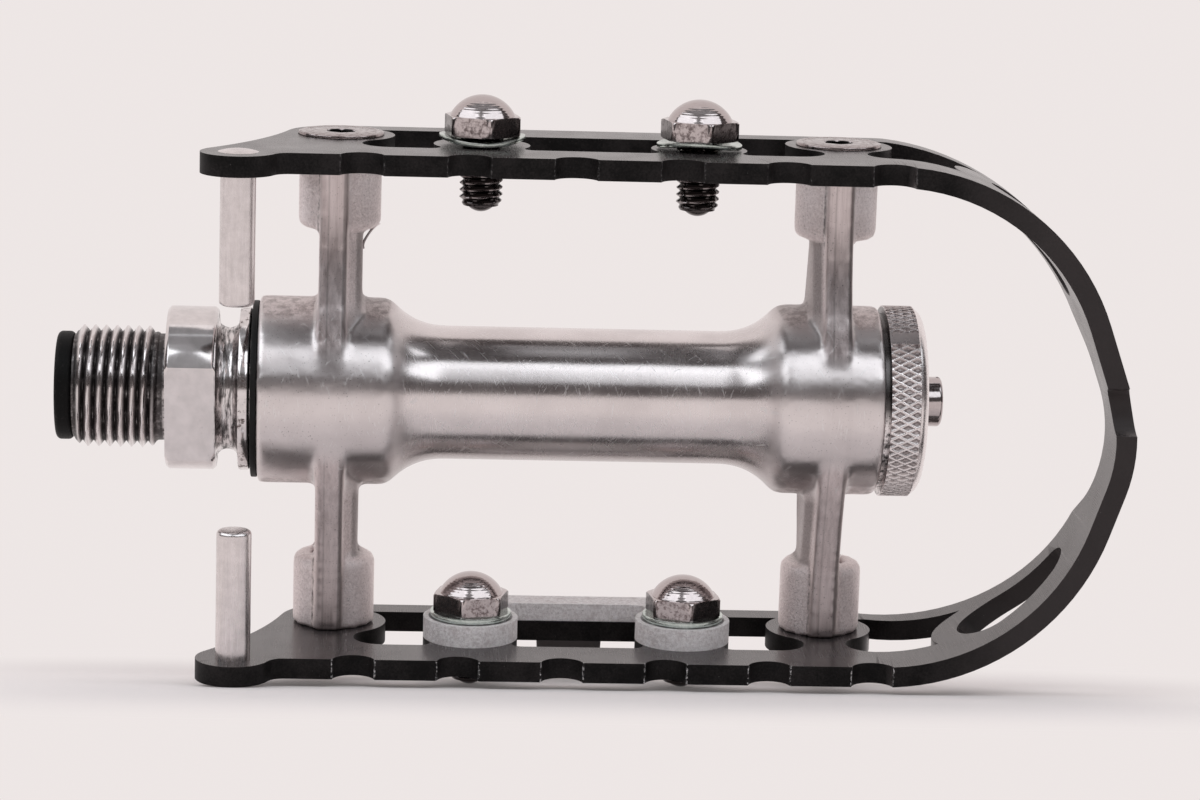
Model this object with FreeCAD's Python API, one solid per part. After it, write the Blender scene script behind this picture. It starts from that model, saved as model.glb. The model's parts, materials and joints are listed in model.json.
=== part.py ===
import FreeCAD, Part
import math
import os
from FreeCAD import Vector

# Road bicycle pedal, right-hand side, all lengths in millimetres.
# X runs along the spindle towards the outboard end, Z is up from the lower to the upper cage rail,
# and Y points away from the scalloped edge. The origin is on the axle, at the crank shoulder.

# Spindle, crank side
thread_r = 7.144
thread_len = 10.0
thread_chamfer = 0.45
tip_neck_r = 6.1
tip_neck_len = 0.25
runout_r = 6.3
runout_len = 0.6
flange_r = 9.58
flange_len = 5.85
flange_chamfer = 0.35
wrench_af = 15.0
wrench_turn = 14.0
groove_r = 7.15
groove_len = 2.57
groove_fillet = 1.2
collar_r = 9.6
collar_len = 1.33
collar_chamfer = 0.25
plug_r = 6.35
plug_len = 2.0
plug_round = 0.6
plug_stem_r = 2.98
plug_stem_len = 5.0
plug_socket_gap = 0.02

# Bearings
ball_r = 1.984
ball_ring_r = 6.8
ball_count = 10
race_gap = 0.03
inner_ball_x = 14.2
outer_ball_depth = 4.9
cup_r = 9.5
cup_lip = 1.2
cup_back = 0.9
cup_bore_r = 6.2
journal_r = 7.0
shaft_end_r = 4.2
taper_start_x = 30.0
taper_end_x = 70.0
screw_end_r = 4.0
screw_start_x = 73.0
screw_gap = 0.05
cone_r = 6.6
cone_back = 1.8
tongue_washer_r = 6.4
tongue_washer_t = 1.0
tongue_w = 1.4
tongue_depth = 0.8
tongue_gap = 0.1
lock_nut_af = 12.0
lock_nut_len = 3.0
spindle_overhang = 0.6
spindle_end_chamfer = 0.4

# Seal at the inboard end of the body
seal_gap = 0.15
seal_lip_gap = 0.1
seal_flange_t = 0.7
seal_flange_r = 10.4
seal_sleeve_len = 2.0
seal_sleeve_wall = 1.2

# Body casting
hub_r = 11.0
outer_hub_r = 11.2
barrel_r = 7.87
shoulder_round = 2.2
flare_r = 8.0
inner_hub_end_x = 24.9
outer_hub_start_x = 72.6
body_end_x = 83.5
hub_edge_round = 0.5
body_bore_r = 5.7
boss_x = (19.8, 77.9)
boss_r = 4.8
boss_bottom_z = 19.5
boss_round = 0.9
rib_w = 3.3
rib_shift = (-0.62, 0.0)
rib_root_y = 10.6
rib_root_z = 3.0
rib_knee_y = 5.5
rib_knee_z = 18.5
rib_knee_round = 36.0
rib_edge_round = 0.5
web_reach = 2.75
web_step = 1.2
web_drop = 2.0

# Dust cap and grease screw
cap_r = 11.3
cap_rim_len = 4.55
cap_edge_round = 2.3
cap_neck_r = 10.4
cap_neck_len = 0.55
cap_sleeve_len = 2.9
cap_sleeve_gap = 0.08
cap_wall = 1.0
cap_face_t = 1.1
grease_head_r = 2.95
grease_head_len = 2.75
grease_head_round = 0.45
grease_shank_r = 1.7
grease_shank_len = 1.1
grease_slot_w = 0.8
grease_slot_depth = 0.6

# Cage strip
cage_t = 2.4
rail_z = 30.35
near_y = -17.7
far_y = 7.7
near_rail_w = 6.9
back_rail_w = 3.5
back_rail_wide_w = 6.7
bolt_neck_w = 5.6
corner_x = 83.15
corner_r = 26.76
corner_skew = 0.5
apex_overhang = 1.72
apex_r = 18.9
apex_z = -1.27
ear_x = 8.6
ear_y = -17.5
ear_r = 4.3
ear_fillet = 2.0
ear_taper_r = 45.0
boss_end_shift = 0.4
boss_end_r = 6.7
boss_pad_r = 6.25
boss_nose_r = 3.24
bolt_pad_r = 5.55
bolt_nose_r = 1.2
scallop_r = 2.5
scallop_offset = 0.55
scallop_count = 6
scallop_first_x = 22.4
scallop_pitch = 11.99
apex_scallop_z = 2.6
apex_scallop_r = 2.85
taper_start_u = -17.6
taper_slope = 0.487
slot_angle = 46.7
slot_big_r = 4.6
slot_big_u = -3.2
slot_big_y = -8.3
slot_small_r = 2.7
slot_small_u = 5.1
slot_small_y = -9.5
window_round_dx = 15.55
window_round_r = 8.2
window_taper_dx = 0.95
window_taper_slope = 0.5
apex_strip_w = 7.3
apex_flat_half = 8.3
apex_flank_slope = 0.85
apex_fillet = 4.0
tab_x = 48.3
tab_root_w = 8.2
tab_tip_w = 7.4
tab_drop = 4.0

# Cage screws, strap pins, clip bolts, washers and bridge plate
cage_screw_r = 2.5
cage_screw_head_r = 5.0
cage_screw_cone_angle = 45.0
cage_screw_rim = 0.35
cage_screw_proud = 0.4
cage_screw_len = 12.0
hex_key_af = 3.0
hex_key_depth = 1.6
fastener_gap = 0.05
pin_r = 2.0
pin_len = 15.0
pin_round = 0.5
pin_head_r = 2.3
pin_head_h = 0.35
bolt_x = (36.0, 61.0)
bolt_y = -6.5
bolt_r = 2.5
bolt_hole_gap = 0.1
bolt_af = 8.0
bolt_turn = 12.0
bolt_hex_h = 2.25
bolt_dome_h = 2.35
bolt_dome_r = 3.75
bolt_shank_len = 8.9
bolt_tip_h = 0.9
bolt_tip_r = 1.7
spring_washer_r = 4.95
spring_washer_bore_r = 2.65
spring_washer_t = 0.5
spring_washer_bend_r = 16.74
flat_washer_r = 4.75
flat_washer_t = 0.7
plate_t = 2.5
plate_end_r = 5.55
plate_bar_y = (1.2, 5.0)
plate_bar_t = 2.1
plate_corner_r = 2.0

# Places that follow from the sizes above
groove_start_x = flange_len
collar_start_x = groove_start_x + groove_len
collar_end_x = collar_start_x + collar_len
body_start_x = collar_end_x + seal_gap + seal_flange_t
spindle_tip_x = -runout_len - thread_len - tip_neck_len
race_r = ball_r + race_gap
shaft_r = ball_ring_r - race_r
outer_ball_x = body_end_x - outer_ball_depth
cone_end_x = outer_ball_x + race_r + cone_back
nut_start_x = cone_end_x + tongue_washer_t
nut_end_x = nut_start_x + lock_nut_len
spindle_end_x = nut_end_x + spindle_overhang
cap_rim_x = body_end_x + cap_neck_len
cap_end_x = cap_rim_x + cap_rim_len
rail_inner_z = rail_z - cage_t
apex_x = corner_x + corner_r + apex_overhang
apex_floor_y = near_y + apex_strip_w
window_near_y = near_y + near_rail_w
window_far_y = far_y - back_rail_w
plate_top_z = plate_t - rail_inner_z
washer_bow = spring_washer_bend_r - math.sqrt(spring_washer_bend_r ** 2 - bolt_af ** 2 / 3)
top_bolt_seat_z = rail_z + spring_washer_t + washer_bow
bottom_bolt_seat_z = plate_top_z + flat_washer_t
beyond = 60.0

X_AXIS = Vector(1, 0, 0)
Y_AXIS = Vector(0, 1, 0)
Z_AXIS = Vector(0, 0, 1)
ORIGIN = Vector(0, 0, 0)


def polar(centre, radius, degrees):
    """Point of a circle in a plane, as a pair."""
    turn = math.radians(degrees)
    return centre[0] + radius * math.cos(turn), centre[1] + radius * math.sin(turn)


def circle_arc(place, centre, radius, start, end):
    """Arc edge between two angles; place turns a pair into a point in space."""
    angles = (start, (start + end) / 2, end)
    return Part.Arc(*[place(*polar(centre, radius, angle)) for angle in angles]).toShape()


def joined(place, edges_and_points):
    """Closed face from arcs and corner points in order, with straight lines between them."""
    edges = []
    last = None
    first = None
    for item in edges_and_points:
        if isinstance(item, Part.Edge):
            start, end = item.valueAt(item.FirstParameter), item.valueAt(item.LastParameter)
        else:
            start = end = place(*item)
        if last is not None and start.distanceToPoint(last) > 1e-6:
            edges.append(Part.makeLine(last, start))
        if isinstance(item, Part.Edge):
            edges.append(item)
        first = first or start
        last = end
    if last.distanceToPoint(first) > 1e-6:
        edges.append(Part.makeLine(last, first))
    return Part.Face(Part.Wire(edges))


def in_section(x, r):
    """Point of a turned profile: along the axle, and out from it."""
    return Vector(x, 0, r)


def in_plan(x, y):
    return Vector(x, y, 0)


def turned(items):
    """Solid of revolution about the axle from a half section."""
    return joined(in_section, items).revolve(ORIGIN, X_AXIS, 360)


def rod(start, direction, radius, length):
    return Part.makeCylinder(radius, length, start, direction)


def plan_prism(face, bottom, top):
    """Plan face stretched between two heights."""
    prism = face.extrude(Vector(0, 0, top - bottom))
    prism.translate(Vector(0, 0, bottom))
    return prism


def hexagon_prism(across_flats, height, start):
    """Upright hexagonal bar with one corner towards the near edge."""
    corner_r = across_flats / math.sqrt(3)
    points = [in_plan(*polar((0, 0), corner_r, 30 + 60 * step)) for step in range(6)]
    prism = Part.Face(Part.makePolygon(points + points[:1])).extrude(Vector(0, 0, height))
    prism.translate(start)
    return prism


def mirrored(shape):
    """Copy on the other rail."""
    return shape.mirror(ORIGIN, Z_AXIS)


def group(solids):
    return Part.makeCompound(solids)


def heading(from_point, to_point):
    return math.degrees(math.atan2(to_point[1] - from_point[1], to_point[0] - from_point[0]))


def rest_lean():
    """Angle about the axle at which the pedal stands on its lower bolt tips and the lower ear's near edge."""
    ball = (bolt_tip_r ** 2 + bolt_tip_h ** 2) / (2 * bolt_tip_h)
    ear_edge = (ear_y - ear_r, -rail_z)
    tip_centre = (bolt_y, bottom_bolt_seat_z - bolt_shank_len + ball)
    reach = math.hypot(tip_centre[0] - ear_edge[0], tip_centre[1] - ear_edge[1])
    return math.degrees(math.asin(ball / reach)) - heading(ear_edge, tip_centre)


def save(name, shape):
    """Export one piece, leaned over as the pedal stands."""
    leaned = shape.copy()
    leaned.rotate(ORIGIN, X_AXIS, rest_lean())
    leaned.exportStep("parts/" + name + ".step")


# Spindle and the pieces that stay with it

def make_spindle():
    groove_top = groove_r + groove_fillet
    profile = [
        (spindle_tip_x, 0),
        (spindle_tip_x, tip_neck_r),
        (spindle_tip_x + tip_neck_len, tip_neck_r),
        (spindle_tip_x + tip_neck_len, thread_r - thread_chamfer),
        (spindle_tip_x + tip_neck_len + thread_chamfer, thread_r),
        (-runout_len, thread_r),
        (-runout_len, runout_r),
        (0, runout_r),
        (0, flange_r - flange_chamfer),
        (flange_chamfer, flange_r),
        (flange_len - flange_chamfer, flange_r),
        (flange_len, flange_r - flange_chamfer),
        circle_arc(in_section, (groove_start_x + groove_fillet, groove_top), groove_fillet, 180, 270),
        circle_arc(in_section, (collar_start_x - groove_fillet, groove_top), groove_fillet, 270, 360),
        (collar_start_x, collar_r - collar_chamfer),
        (collar_start_x + collar_chamfer, collar_r),
        (collar_end_x - collar_chamfer, collar_r),
        (collar_end_x, collar_r - collar_chamfer),
        (collar_end_x, journal_r),
        (inner_ball_x - race_r, journal_r),
        circle_arc(in_section, (inner_ball_x, ball_ring_r), race_r, 180, 270),
        (taper_start_x, shaft_r),
        (taper_end_x, shaft_end_r),
        (screw_start_x, shaft_end_r),
        (screw_start_x, screw_end_r),
        (spindle_end_x - spindle_end_chamfer, screw_end_r),
        (spindle_end_x, screw_end_r - spindle_end_chamfer),
        (spindle_end_x, 0),
    ]
    spindle = turned(profile)
    flat_cut = Part.makeBox(flange_len, flange_r, 4 * flange_r, Vector(0, wrench_af / 2, -2 * flange_r))
    for turn in (wrench_turn, wrench_turn + 180):
        cut = flat_cut.copy()
        cut.rotate(ORIGIN, X_AXIS, turn)
        spindle = spindle.cut(cut)
    socket_r = plug_stem_r + plug_socket_gap
    spindle = spindle.cut(rod(Vector(spindle_tip_x, 0, 0), X_AXIS, socket_r, plug_stem_len + plug_socket_gap))
    keyway = Part.makeBox(spindle_end_x - cone_end_x, tongue_w, tongue_depth + screw_end_r,
                          Vector(cone_end_x, -tongue_w / 2, screw_end_r - tongue_depth))
    return spindle.cut(keyway)


def make_end_plug():
    left = spindle_tip_x - plug_len
    return turned([
        (left, 0),
        circle_arc(in_section, (left + plug_round, plug_r - plug_round), plug_round, 180, 90),
        circle_arc(in_section, (spindle_tip_x - plug_round, plug_r - plug_round), plug_round, 90, 0),
        (spindle_tip_x, plug_stem_r),
        (spindle_tip_x + plug_stem_len, plug_stem_r),
        (spindle_tip_x + plug_stem_len, 0),
    ])


def make_outer_cone():
    bore = screw_end_r + screw_gap
    return turned([
        (outer_ball_x, bore),
        circle_arc(in_section, (outer_ball_x, ball_ring_r), race_r, 270, 360),
        (cone_end_x - cone_back, cone_r + race_gap),
        (cone_end_x, cone_r + race_gap),
        (cone_end_x, bore),
    ])


def make_tongue_washer():
    bore = screw_end_r + screw_gap
    start = Vector(cone_end_x, 0, 0)
    washer = rod(start, X_AXIS, tongue_washer_r, tongue_washer_t)
    washer = washer.cut(rod(start, X_AXIS, bore, tongue_washer_t))
    tongue_tip = screw_end_r - tongue_depth + tongue_gap
    tongue_width = tongue_w - 2 * tongue_gap
    tongue = Part.makeBox(tongue_washer_t, tongue_width, bore + tongue_gap - tongue_tip,
                          Vector(cone_end_x, -tongue_width / 2, tongue_tip))
    return washer.fuse(tongue).removeSplitter()


def make_lock_nut():
    nut = hexagon_prism(lock_nut_af, lock_nut_len, ORIGIN)
    nut.rotate(ORIGIN, Y_AXIS, 90)
    nut.translate(Vector(nut_start_x, 0, 0))
    return nut.cut(rod(Vector(nut_start_x, 0, 0), X_AXIS, screw_end_r + screw_gap, lock_nut_len))


def make_balls(x):
    step = 360 / ball_count
    places = [polar((0, 0), ball_ring_r, step * (index + 0.5)) for index in range(ball_count)]
    return group([Part.makeSphere(ball_r, Vector(x, y, z)) for y, z in places])


def make_cup(x, side):
    """Pressed bearing cup; side is 1 where the race faces the crank and -1 where it faces outboard."""
    race = circle_arc(in_section, (0, ball_ring_r), race_r, 90, 0)
    cup = turned([
        (-cup_lip, cup_r),
        (-cup_lip, ball_ring_r + race_r),
        race,
        (race_r, cup_bore_r),
        (race_r + cup_back, cup_bore_r),
        (race_r + cup_back, cup_r),
    ])
    if side < 0:
        cup = cup.mirror(ORIGIN, X_AXIS)
    cup.translate(Vector(x, 0, 0))
    return cup


# Body casting, seal, dust cap and grease screw

def flare(hub_x, radius, side):
    """Rounded hub shoulder and hollow sweep down to the barrel; side is 1 when the barrel is outboard."""
    drop = radius - barrel_r
    turn = math.degrees(math.acos(1 - drop / (shoulder_round + flare_r)))
    run = (shoulder_round + flare_r) * math.sin(math.radians(turn))
    round_centre = (hub_x, radius - shoulder_round)
    sweep_centre = (hub_x + side * run, barrel_r + flare_r)
    shoulder = circle_arc(in_section, round_centre, shoulder_round, 90, 90 - side * turn)
    sweep = circle_arc(in_section, sweep_centre, flare_r, 270 - side * turn, 270)
    if side > 0:
        return [shoulder, sweep]
    return [circle_arc(in_section, sweep_centre, flare_r, 270, 270 + turn),
            circle_arc(in_section, round_centre, shoulder_round, 90 + turn, 90)]


def turned_body():
    left_edge = (body_start_x + hub_edge_round, hub_r - hub_edge_round)
    right_edge = (body_end_x - hub_edge_round, outer_hub_r - hub_edge_round)
    return turned([
        (body_start_x, 0),
        circle_arc(in_section, left_edge, hub_edge_round, 180, 90),
        *flare(inner_hub_end_x, hub_r, 1),
        *flare(outer_hub_start_x, outer_hub_r, -1),
        circle_arc(in_section, right_edge, hub_edge_round, 90, 0),
        (body_end_x, 0),
    ])


def make_arm(x, shift, outward):
    """One upper arm: a tapering rib plate, a stepped web on its inner side, and the cage boss on top."""
    rib_left = x + shift - rib_w / 2
    outline = [
        (-rib_root_y, rib_root_z),
        (-rib_knee_y, rib_knee_z),
        (-rib_knee_y, rail_inner_z),
        (rib_knee_y, rail_inner_z),
        (rib_knee_y, rib_knee_z),
        (rib_root_y, rib_root_z),
    ]
    points = [Vector(rib_left, y, z) for y, z in outline]
    rib = Part.Face(Part.makePolygon(points + points[:1])).extrude(Vector(rib_w, 0, 0))
    knees = [edge for edge in rib.Edges
             if edge.BoundBox.ZLength < 0.01 and abs(edge.CenterOfMass.z - rib_knee_z) < 0.01]
    rib = rib.makeFillet(rib_knee_round, knees)
    long_edges = [edge for edge in rib.Edges
                  if edge.BoundBox.XLength < 0.01 and edge.BoundBox.ZLength > 1]
    rib = rib.makeFillet(rib_edge_round, long_edges)
    outer_x = x + shift + outward * rib_w / 2
    step_x = outer_x - outward * rib_w
    inner_x = x - outward * web_reach
    sections = []
    for z, rib_y in ((rib_root_z, rib_root_y), (rib_knee_z, rib_knee_y), (rail_inner_z, rib_knee_y)):
        deep = rib_y - web_step
        half = [(outer_x, deep), (step_x, deep), (inner_x, deep - web_drop)]
        loop = [Vector(a, b, z) for a, b in half] + [Vector(a, -b, z) for a, b in reversed(half)]
        sections.append(Part.makePolygon(loop + loop[:1]))
    web = Part.makeLoft(sections, True, True)
    boss = rod(Vector(x, 0, boss_bottom_z), Z_AXIS, boss_r, rail_inner_z - boss_bottom_z)
    lower_edges = [edge for edge in boss.Edges if edge.BoundBox.ZMax < boss_bottom_z + 0.01]
    boss = boss.makeFillet(boss_round, lower_edges)
    return rib.fuse([web, boss])


def make_body():
    body = turned_body()
    arms = []
    for x, shift, outward in zip(boss_x, rib_shift, (-1, 1)):
        arm = make_arm(x, shift, outward)
        arms += [arm, mirrored(arm)]
    body = body.fuse(arms).removeSplitter()
    cup_seat = inner_ball_x + race_r + cup_back
    outer_seat = outer_ball_x - race_r - cup_back
    cuts = [
        rod(Vector(body_start_x, 0, 0), X_AXIS, cup_r, cup_seat - body_start_x),
        rod(Vector(outer_seat, 0, 0), X_AXIS, cup_r, body_end_x - outer_seat),
        rod(Vector(body_start_x, 0, 0), X_AXIS, body_bore_r, body_end_x - body_start_x),
    ]
    hole_r = cage_screw_r + fastener_gap
    hole_depth = cage_screw_len - cage_t + cage_screw_proud + fastener_gap
    for x in boss_x:
        hole = rod(Vector(x, 0, rail_inner_z - hole_depth), Z_AXIS, hole_r, hole_depth)
        cuts += [hole, mirrored(hole)]
    return body.cut(cuts)


def make_seal():
    flange_x = collar_end_x + seal_gap
    return turned([
        (flange_x, journal_r + seal_lip_gap),
        (flange_x, seal_flange_r),
        (body_start_x, seal_flange_r),
        (body_start_x, cup_r),
        (body_start_x + seal_sleeve_len, cup_r),
        (body_start_x + seal_sleeve_len, cup_r - seal_sleeve_wall),
        (body_start_x, cup_r - seal_sleeve_wall),
        (body_start_x, journal_r + seal_lip_gap),
    ])


def make_dust_cap():
    sleeve_r = cup_r - cap_sleeve_gap
    hollow_r = sleeve_r - cap_wall
    hollow_end = cap_end_x - cap_face_t
    bore = grease_shank_r + fastener_gap
    rim_edge = (cap_end_x - cap_edge_round, cap_r - cap_edge_round)
    return turned([
        (body_end_x - cap_sleeve_len, hollow_r),
        (body_end_x - cap_sleeve_len, sleeve_r),
        (body_end_x, sleeve_r),
        (body_end_x, cap_neck_r),
        (cap_rim_x, cap_neck_r),
        (cap_rim_x, cap_r),
        circle_arc(in_section, rim_edge, cap_edge_round, 90, 0),
        (cap_end_x, bore),
        (hollow_end, bore),
        (hollow_end, hollow_r),
    ])


def make_grease_screw():
    end = cap_end_x + grease_head_len
    edge_centre = (end - grease_head_round, grease_head_r - grease_head_round)
    screw = turned([
        (cap_end_x - grease_shank_len, 0),
        (cap_end_x - grease_shank_len, grease_shank_r),
        (cap_end_x, grease_shank_r),
        (cap_end_x, grease_head_r),
        circle_arc(in_section, edge_centre, grease_head_round, 90, 0),
        (end, 0),
    ])
    slot = Part.makeBox(grease_slot_depth, grease_slot_w, 2 * grease_head_r,
                        Vector(end - grease_slot_depth, -grease_slot_w / 2, -grease_head_r))
    return screw.cut(slot)


# Cage: one bent, pierced strip

def tangent_angle(centre_a, radius_a, centre_b, radius_b, side):
    """Direction of the shared tangent's normal for two circles, on the given side."""
    dx, dz = centre_b[0] - centre_a[0], centre_b[1] - centre_a[1]
    spread = math.acos((radius_a - radius_b) / math.hypot(dx, dz))
    return math.degrees(math.atan2(dz, dx) + side * spread)


def in_elevation(x, z):
    return Vector(x, 0, z)


def bent_strip():
    """Full width of the strip: two straight rails and the pointed arch that joins them."""
    top = (corner_x - corner_skew, rail_z - corner_r)
    bottom = (corner_x + corner_skew, corner_r - rail_z)
    apex = (apex_x - apex_r, apex_z)
    upper = tangent_angle(top, corner_r, apex, apex_r, 1)
    lower = tangent_angle(bottom, corner_r, apex, apex_r, -1)

    def run(inset):
        return [
            circle_arc(in_elevation, top, corner_r - inset, 90, upper),
            circle_arc(in_elevation, apex, apex_r - inset, upper, lower),
            circle_arc(in_elevation, bottom, corner_r - inset, lower, -90),
        ]

    def run_back(inset):
        return [
            circle_arc(in_elevation, bottom, corner_r - inset, -90, lower),
            circle_arc(in_elevation, apex, apex_r - inset, lower, upper),
            circle_arc(in_elevation, top, corner_r - inset, upper, 90),
        ]

    start = ear_x - ear_r
    section = joined(in_elevation, [
        (start, rail_z),
        *run(0),
        (start, -rail_z),
        (start, -rail_inner_z),
        *run_back(cage_t),
        (start, rail_inner_z),
    ])
    front = ear_y - ear_r
    section.translate(Vector(0, front, 0))
    return section.extrude(Vector(0, far_y - front, 0))


def touching_centre(centre_a, distance_a, centre_b, distance_b):
    """Centre of a blending circle at set distances from two others, on the crank side."""
    dx, dy = centre_b[0] - centre_a[0], centre_b[1] - centre_a[1]
    gap = math.hypot(dx, dy)
    along = (gap ** 2 + distance_a ** 2 - distance_b ** 2) / (2 * gap)
    aside = math.sqrt(distance_a ** 2 - along ** 2)
    return (centre_a[0] + (along * dx - aside * dy) / gap, centre_a[1] + (along * dy + aside * dx) / gap)


def plan_outline():
    """Outline of the strip seen from above: eared crank end, straight edges."""
    ear = (ear_x, ear_y)
    boss_end = (boss_x[0] + boss_end_shift, far_y - boss_end_r)
    blend = touching_centre(ear, ear_r + ear_taper_r, boss_end, boss_end_r + ear_taper_r)
    fillet_y = near_y - ear_fillet
    fillet_x = ear_x + math.sqrt((ear_r + ear_fillet) ** 2 - (fillet_y - ear_y) ** 2)
    fillet = (fillet_x, fillet_y)
    ear_to_fillet = heading(ear, fillet)
    ear_to_blend = heading(ear, blend)
    end_to_blend = heading(boss_end, blend) % 360
    return joined(in_plan, [
        circle_arc(in_plan, fillet, ear_fillet, 90, ear_to_fillet + 180),
        circle_arc(in_plan, ear, ear_r, ear_to_fillet, ear_to_blend - 360),
        circle_arc(in_plan, blend, ear_taper_r, ear_to_blend - 180, end_to_blend - 180),
        circle_arc(in_plan, boss_end, boss_end_r, end_to_blend, 90),
        (apex_x + beyond, far_y),
        (apex_x + beyond, near_y),
    ])


def pad(x, y, radius, nose_r):
    """Round pad in plan, joined to the near rail by a neck between two rounded window noses."""
    nose_y = window_near_y + nose_r
    nose_dx = math.sqrt((radius + nose_r) ** 2 - (y - nose_y) ** 2)
    touch_y = y + (nose_y - y) * radius / (radius + nose_r)
    low, high = -beyond, beyond
    block = Part.makeBox(2 * nose_dx, touch_y - window_near_y, high - low,
                         Vector(x - nose_dx, window_near_y, low))
    noses = [rod(Vector(x + side * nose_dx, nose_y, low), Z_AXIS, nose_r, high - low) for side in (-1, 1)]
    return rod(Vector(x, y, low), Z_AXIS, radius, high - low).fuse(block.cut(noses))


def slot_frame(u, y):
    """Point on the plane square to the corner's middle, measured along the strip and across it."""
    turn = math.radians(slot_angle)
    reach = corner_r - cage_t / 2
    x = corner_x + reach * math.cos(turn) + u * math.sin(turn)
    z = corner_r - rail_z - reach * math.sin(turn) + u * math.cos(turn)
    return Vector(x, y, z)


def slot_prism(face):
    """Face of the slot plane pushed both ways through the strip."""
    turn = math.radians(slot_angle)
    through = Vector(math.cos(turn), 0, -math.sin(turn)).multiply(4 * cage_t)
    prism = face.extrude(through * 2)
    prism.translate(through * -1)
    return prism


def make_windows():
    """Openings of a rail, up to the rounded web beside the corner slot."""
    round_centre = (corner_x + window_round_dx, slot_big_y)
    taper_x = corner_x + window_taper_dx
    near_turn = 180 + math.degrees(math.asin((slot_big_y - window_near_y) / window_round_r))
    fall = math.atan(window_taper_slope)
    drop = (window_far_y - slot_big_y) - window_taper_slope * (round_centre[0] - taper_x)
    far_turn = 90 - math.degrees(fall) + math.degrees(math.acos(drop * math.cos(fall) / window_round_r))
    face = joined(in_plan, [
        (boss_x[0], window_near_y),
        circle_arc(in_plan, round_centre, window_round_r, near_turn, far_turn),
        (taper_x, window_far_y),
        (boss_x[0], window_far_y),
    ])
    openings = plan_prism(face, -beyond, beyond)
    pads = [pad(x, 0, boss_pad_r, boss_nose_r) for x in boss_x]
    pads += [pad(x, bolt_y, bolt_pad_r, bolt_nose_r) for x in bolt_x]
    wide_y = far_y - back_rail_wide_w
    first_neck = bolt_x[0] - bolt_neck_w / 2
    wide_len = bolt_x[1] - bolt_x[0] + bolt_neck_w
    pads.append(Part.makeBox(wide_len, far_y - wide_y, 2 * beyond, Vector(first_neck, wide_y, -beyond)))
    for x in bolt_x:
        neck = Vector(x - bolt_neck_w / 2, bolt_y, -beyond)
        pads.append(Part.makeBox(bolt_neck_w, far_y - bolt_y, 2 * beyond, neck))
    return openings.cut(pads)


def egg_slot():
    """Corner slot: a wide round end and a narrow one, with straight sides."""
    big, small = (slot_big_u, slot_big_y), (slot_small_u, slot_small_y)
    far = tangent_angle(big, slot_big_r, small, slot_small_r, 1)
    near = tangent_angle(big, slot_big_r, small, slot_small_r, -1)
    return joined(slot_frame, [
        circle_arc(slot_frame, big, slot_big_r, far, near + 360),
        circle_arc(slot_frame, small, slot_small_r, near, far),
    ])


def corner_taper():
    """What comes off the far edge round the corner, down to the crown's floor, in the slot plane."""
    floor_u = taper_start_u + (far_y - apex_floor_y) / taper_slope
    end_u = floor_u + apex_flat_half / 2
    return joined(slot_frame, [
        (taper_start_u, far_y),
        (floor_u, apex_floor_y),
        (end_u, apex_floor_y),
        (end_u, far_y + beyond),
        (taper_start_u, far_y + beyond),
    ])


def apex_relief():
    """What comes off the far side of the arch's crown, pushed along the axle."""
    rise = far_y + beyond - apex_floor_y
    flank = math.degrees(math.atan2(1, apex_flank_slope))
    setback = apex_fillet * math.tan(math.radians(flank / 2))

    def place(z, y):
        return Vector(corner_x + corner_r / 2, y, z)

    centre = (apex_flat_half - setback, apex_floor_y + apex_fillet)
    face = joined(place, [
        circle_arc(place, centre, apex_fillet, 270, 270 + flank),
        (apex_flat_half + rise * apex_flank_slope, apex_floor_y + rise),
        (-apex_flat_half - rise * apex_flank_slope, apex_floor_y + rise),
        circle_arc(place, (-centre[0], centre[1]), apex_fillet, 270 - flank, 270),
    ])
    return face.extrude(Vector(beyond, 0, 0))


def scallops():
    """Grip notches along the near edge of both rails, and one at the crown."""
    y = near_y - scallop_offset
    cuts = []
    for index in range(scallop_count):
        x = scallop_first_x + index * scallop_pitch
        cuts.append(rod(Vector(x, y, -rail_z), Z_AXIS, scallop_r, 2 * rail_z))
    cuts.append(rod(Vector(apex_x - apex_r, y, apex_scallop_z), X_AXIS, apex_scallop_r, 2 * apex_r))
    return cuts


def kick_tab():
    """Tab turned down from the back edge of the lower rail."""
    half_root, half_tip = tab_root_w / 2, tab_tip_w / 2
    outline = [
        (tab_x - half_root, -rail_inner_z),
        (tab_x + half_root, -rail_inner_z),
        (tab_x + half_tip, -rail_z - tab_drop),
        (tab_x - half_tip, -rail_z - tab_drop),
    ]
    face = joined(in_elevation, outline)
    face.translate(Vector(0, far_y - cage_t, 0))
    return face.extrude(Vector(0, cage_t, 0))


def cage_screw_solid(gap):
    """Countersunk screw of the upper rail, or its hole when a gap is given."""
    head_r = cage_screw_head_r + gap
    shank_r = cage_screw_r + gap
    top = rail_z + cage_screw_proud
    cone_h = (head_r - shank_r) / math.tan(math.radians(cage_screw_cone_angle))
    cone_top = top - cage_screw_rim
    profile = [
        (0, top),
        (head_r, top),
        (head_r, cone_top),
        (shank_r, cone_top - cone_h),
        (shank_r, top - cage_screw_len),
        (0, top - cage_screw_len),
    ]
    return joined(in_elevation, profile).revolve(ORIGIN, Z_AXIS, 360)


def make_cage():
    cage = bent_strip().common(plan_prism(plan_outline(), -beyond, beyond))
    slot = slot_prism(egg_slot())
    taper = slot_prism(corner_taper())
    cuts = [make_windows(), slot, mirrored(slot), taper, mirrored(taper), apex_relief()]
    cuts += scallops()
    for x in boss_x:
        sink = cage_screw_solid(fastener_gap)
        sink.translate(Vector(x, 0, 0))
        cuts += [sink, mirrored(sink)]
    for x in bolt_x:
        cuts.append(rod(Vector(x, bolt_y, -rail_z), Z_AXIS, bolt_r + bolt_hole_gap, 2 * rail_z))
    cuts.append(rod(Vector(ear_x, ear_y, -rail_z), Z_AXIS, pin_r, 2 * rail_z))
    return cage.cut(cuts).fuse(kick_tab()).removeSplitter()


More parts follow.
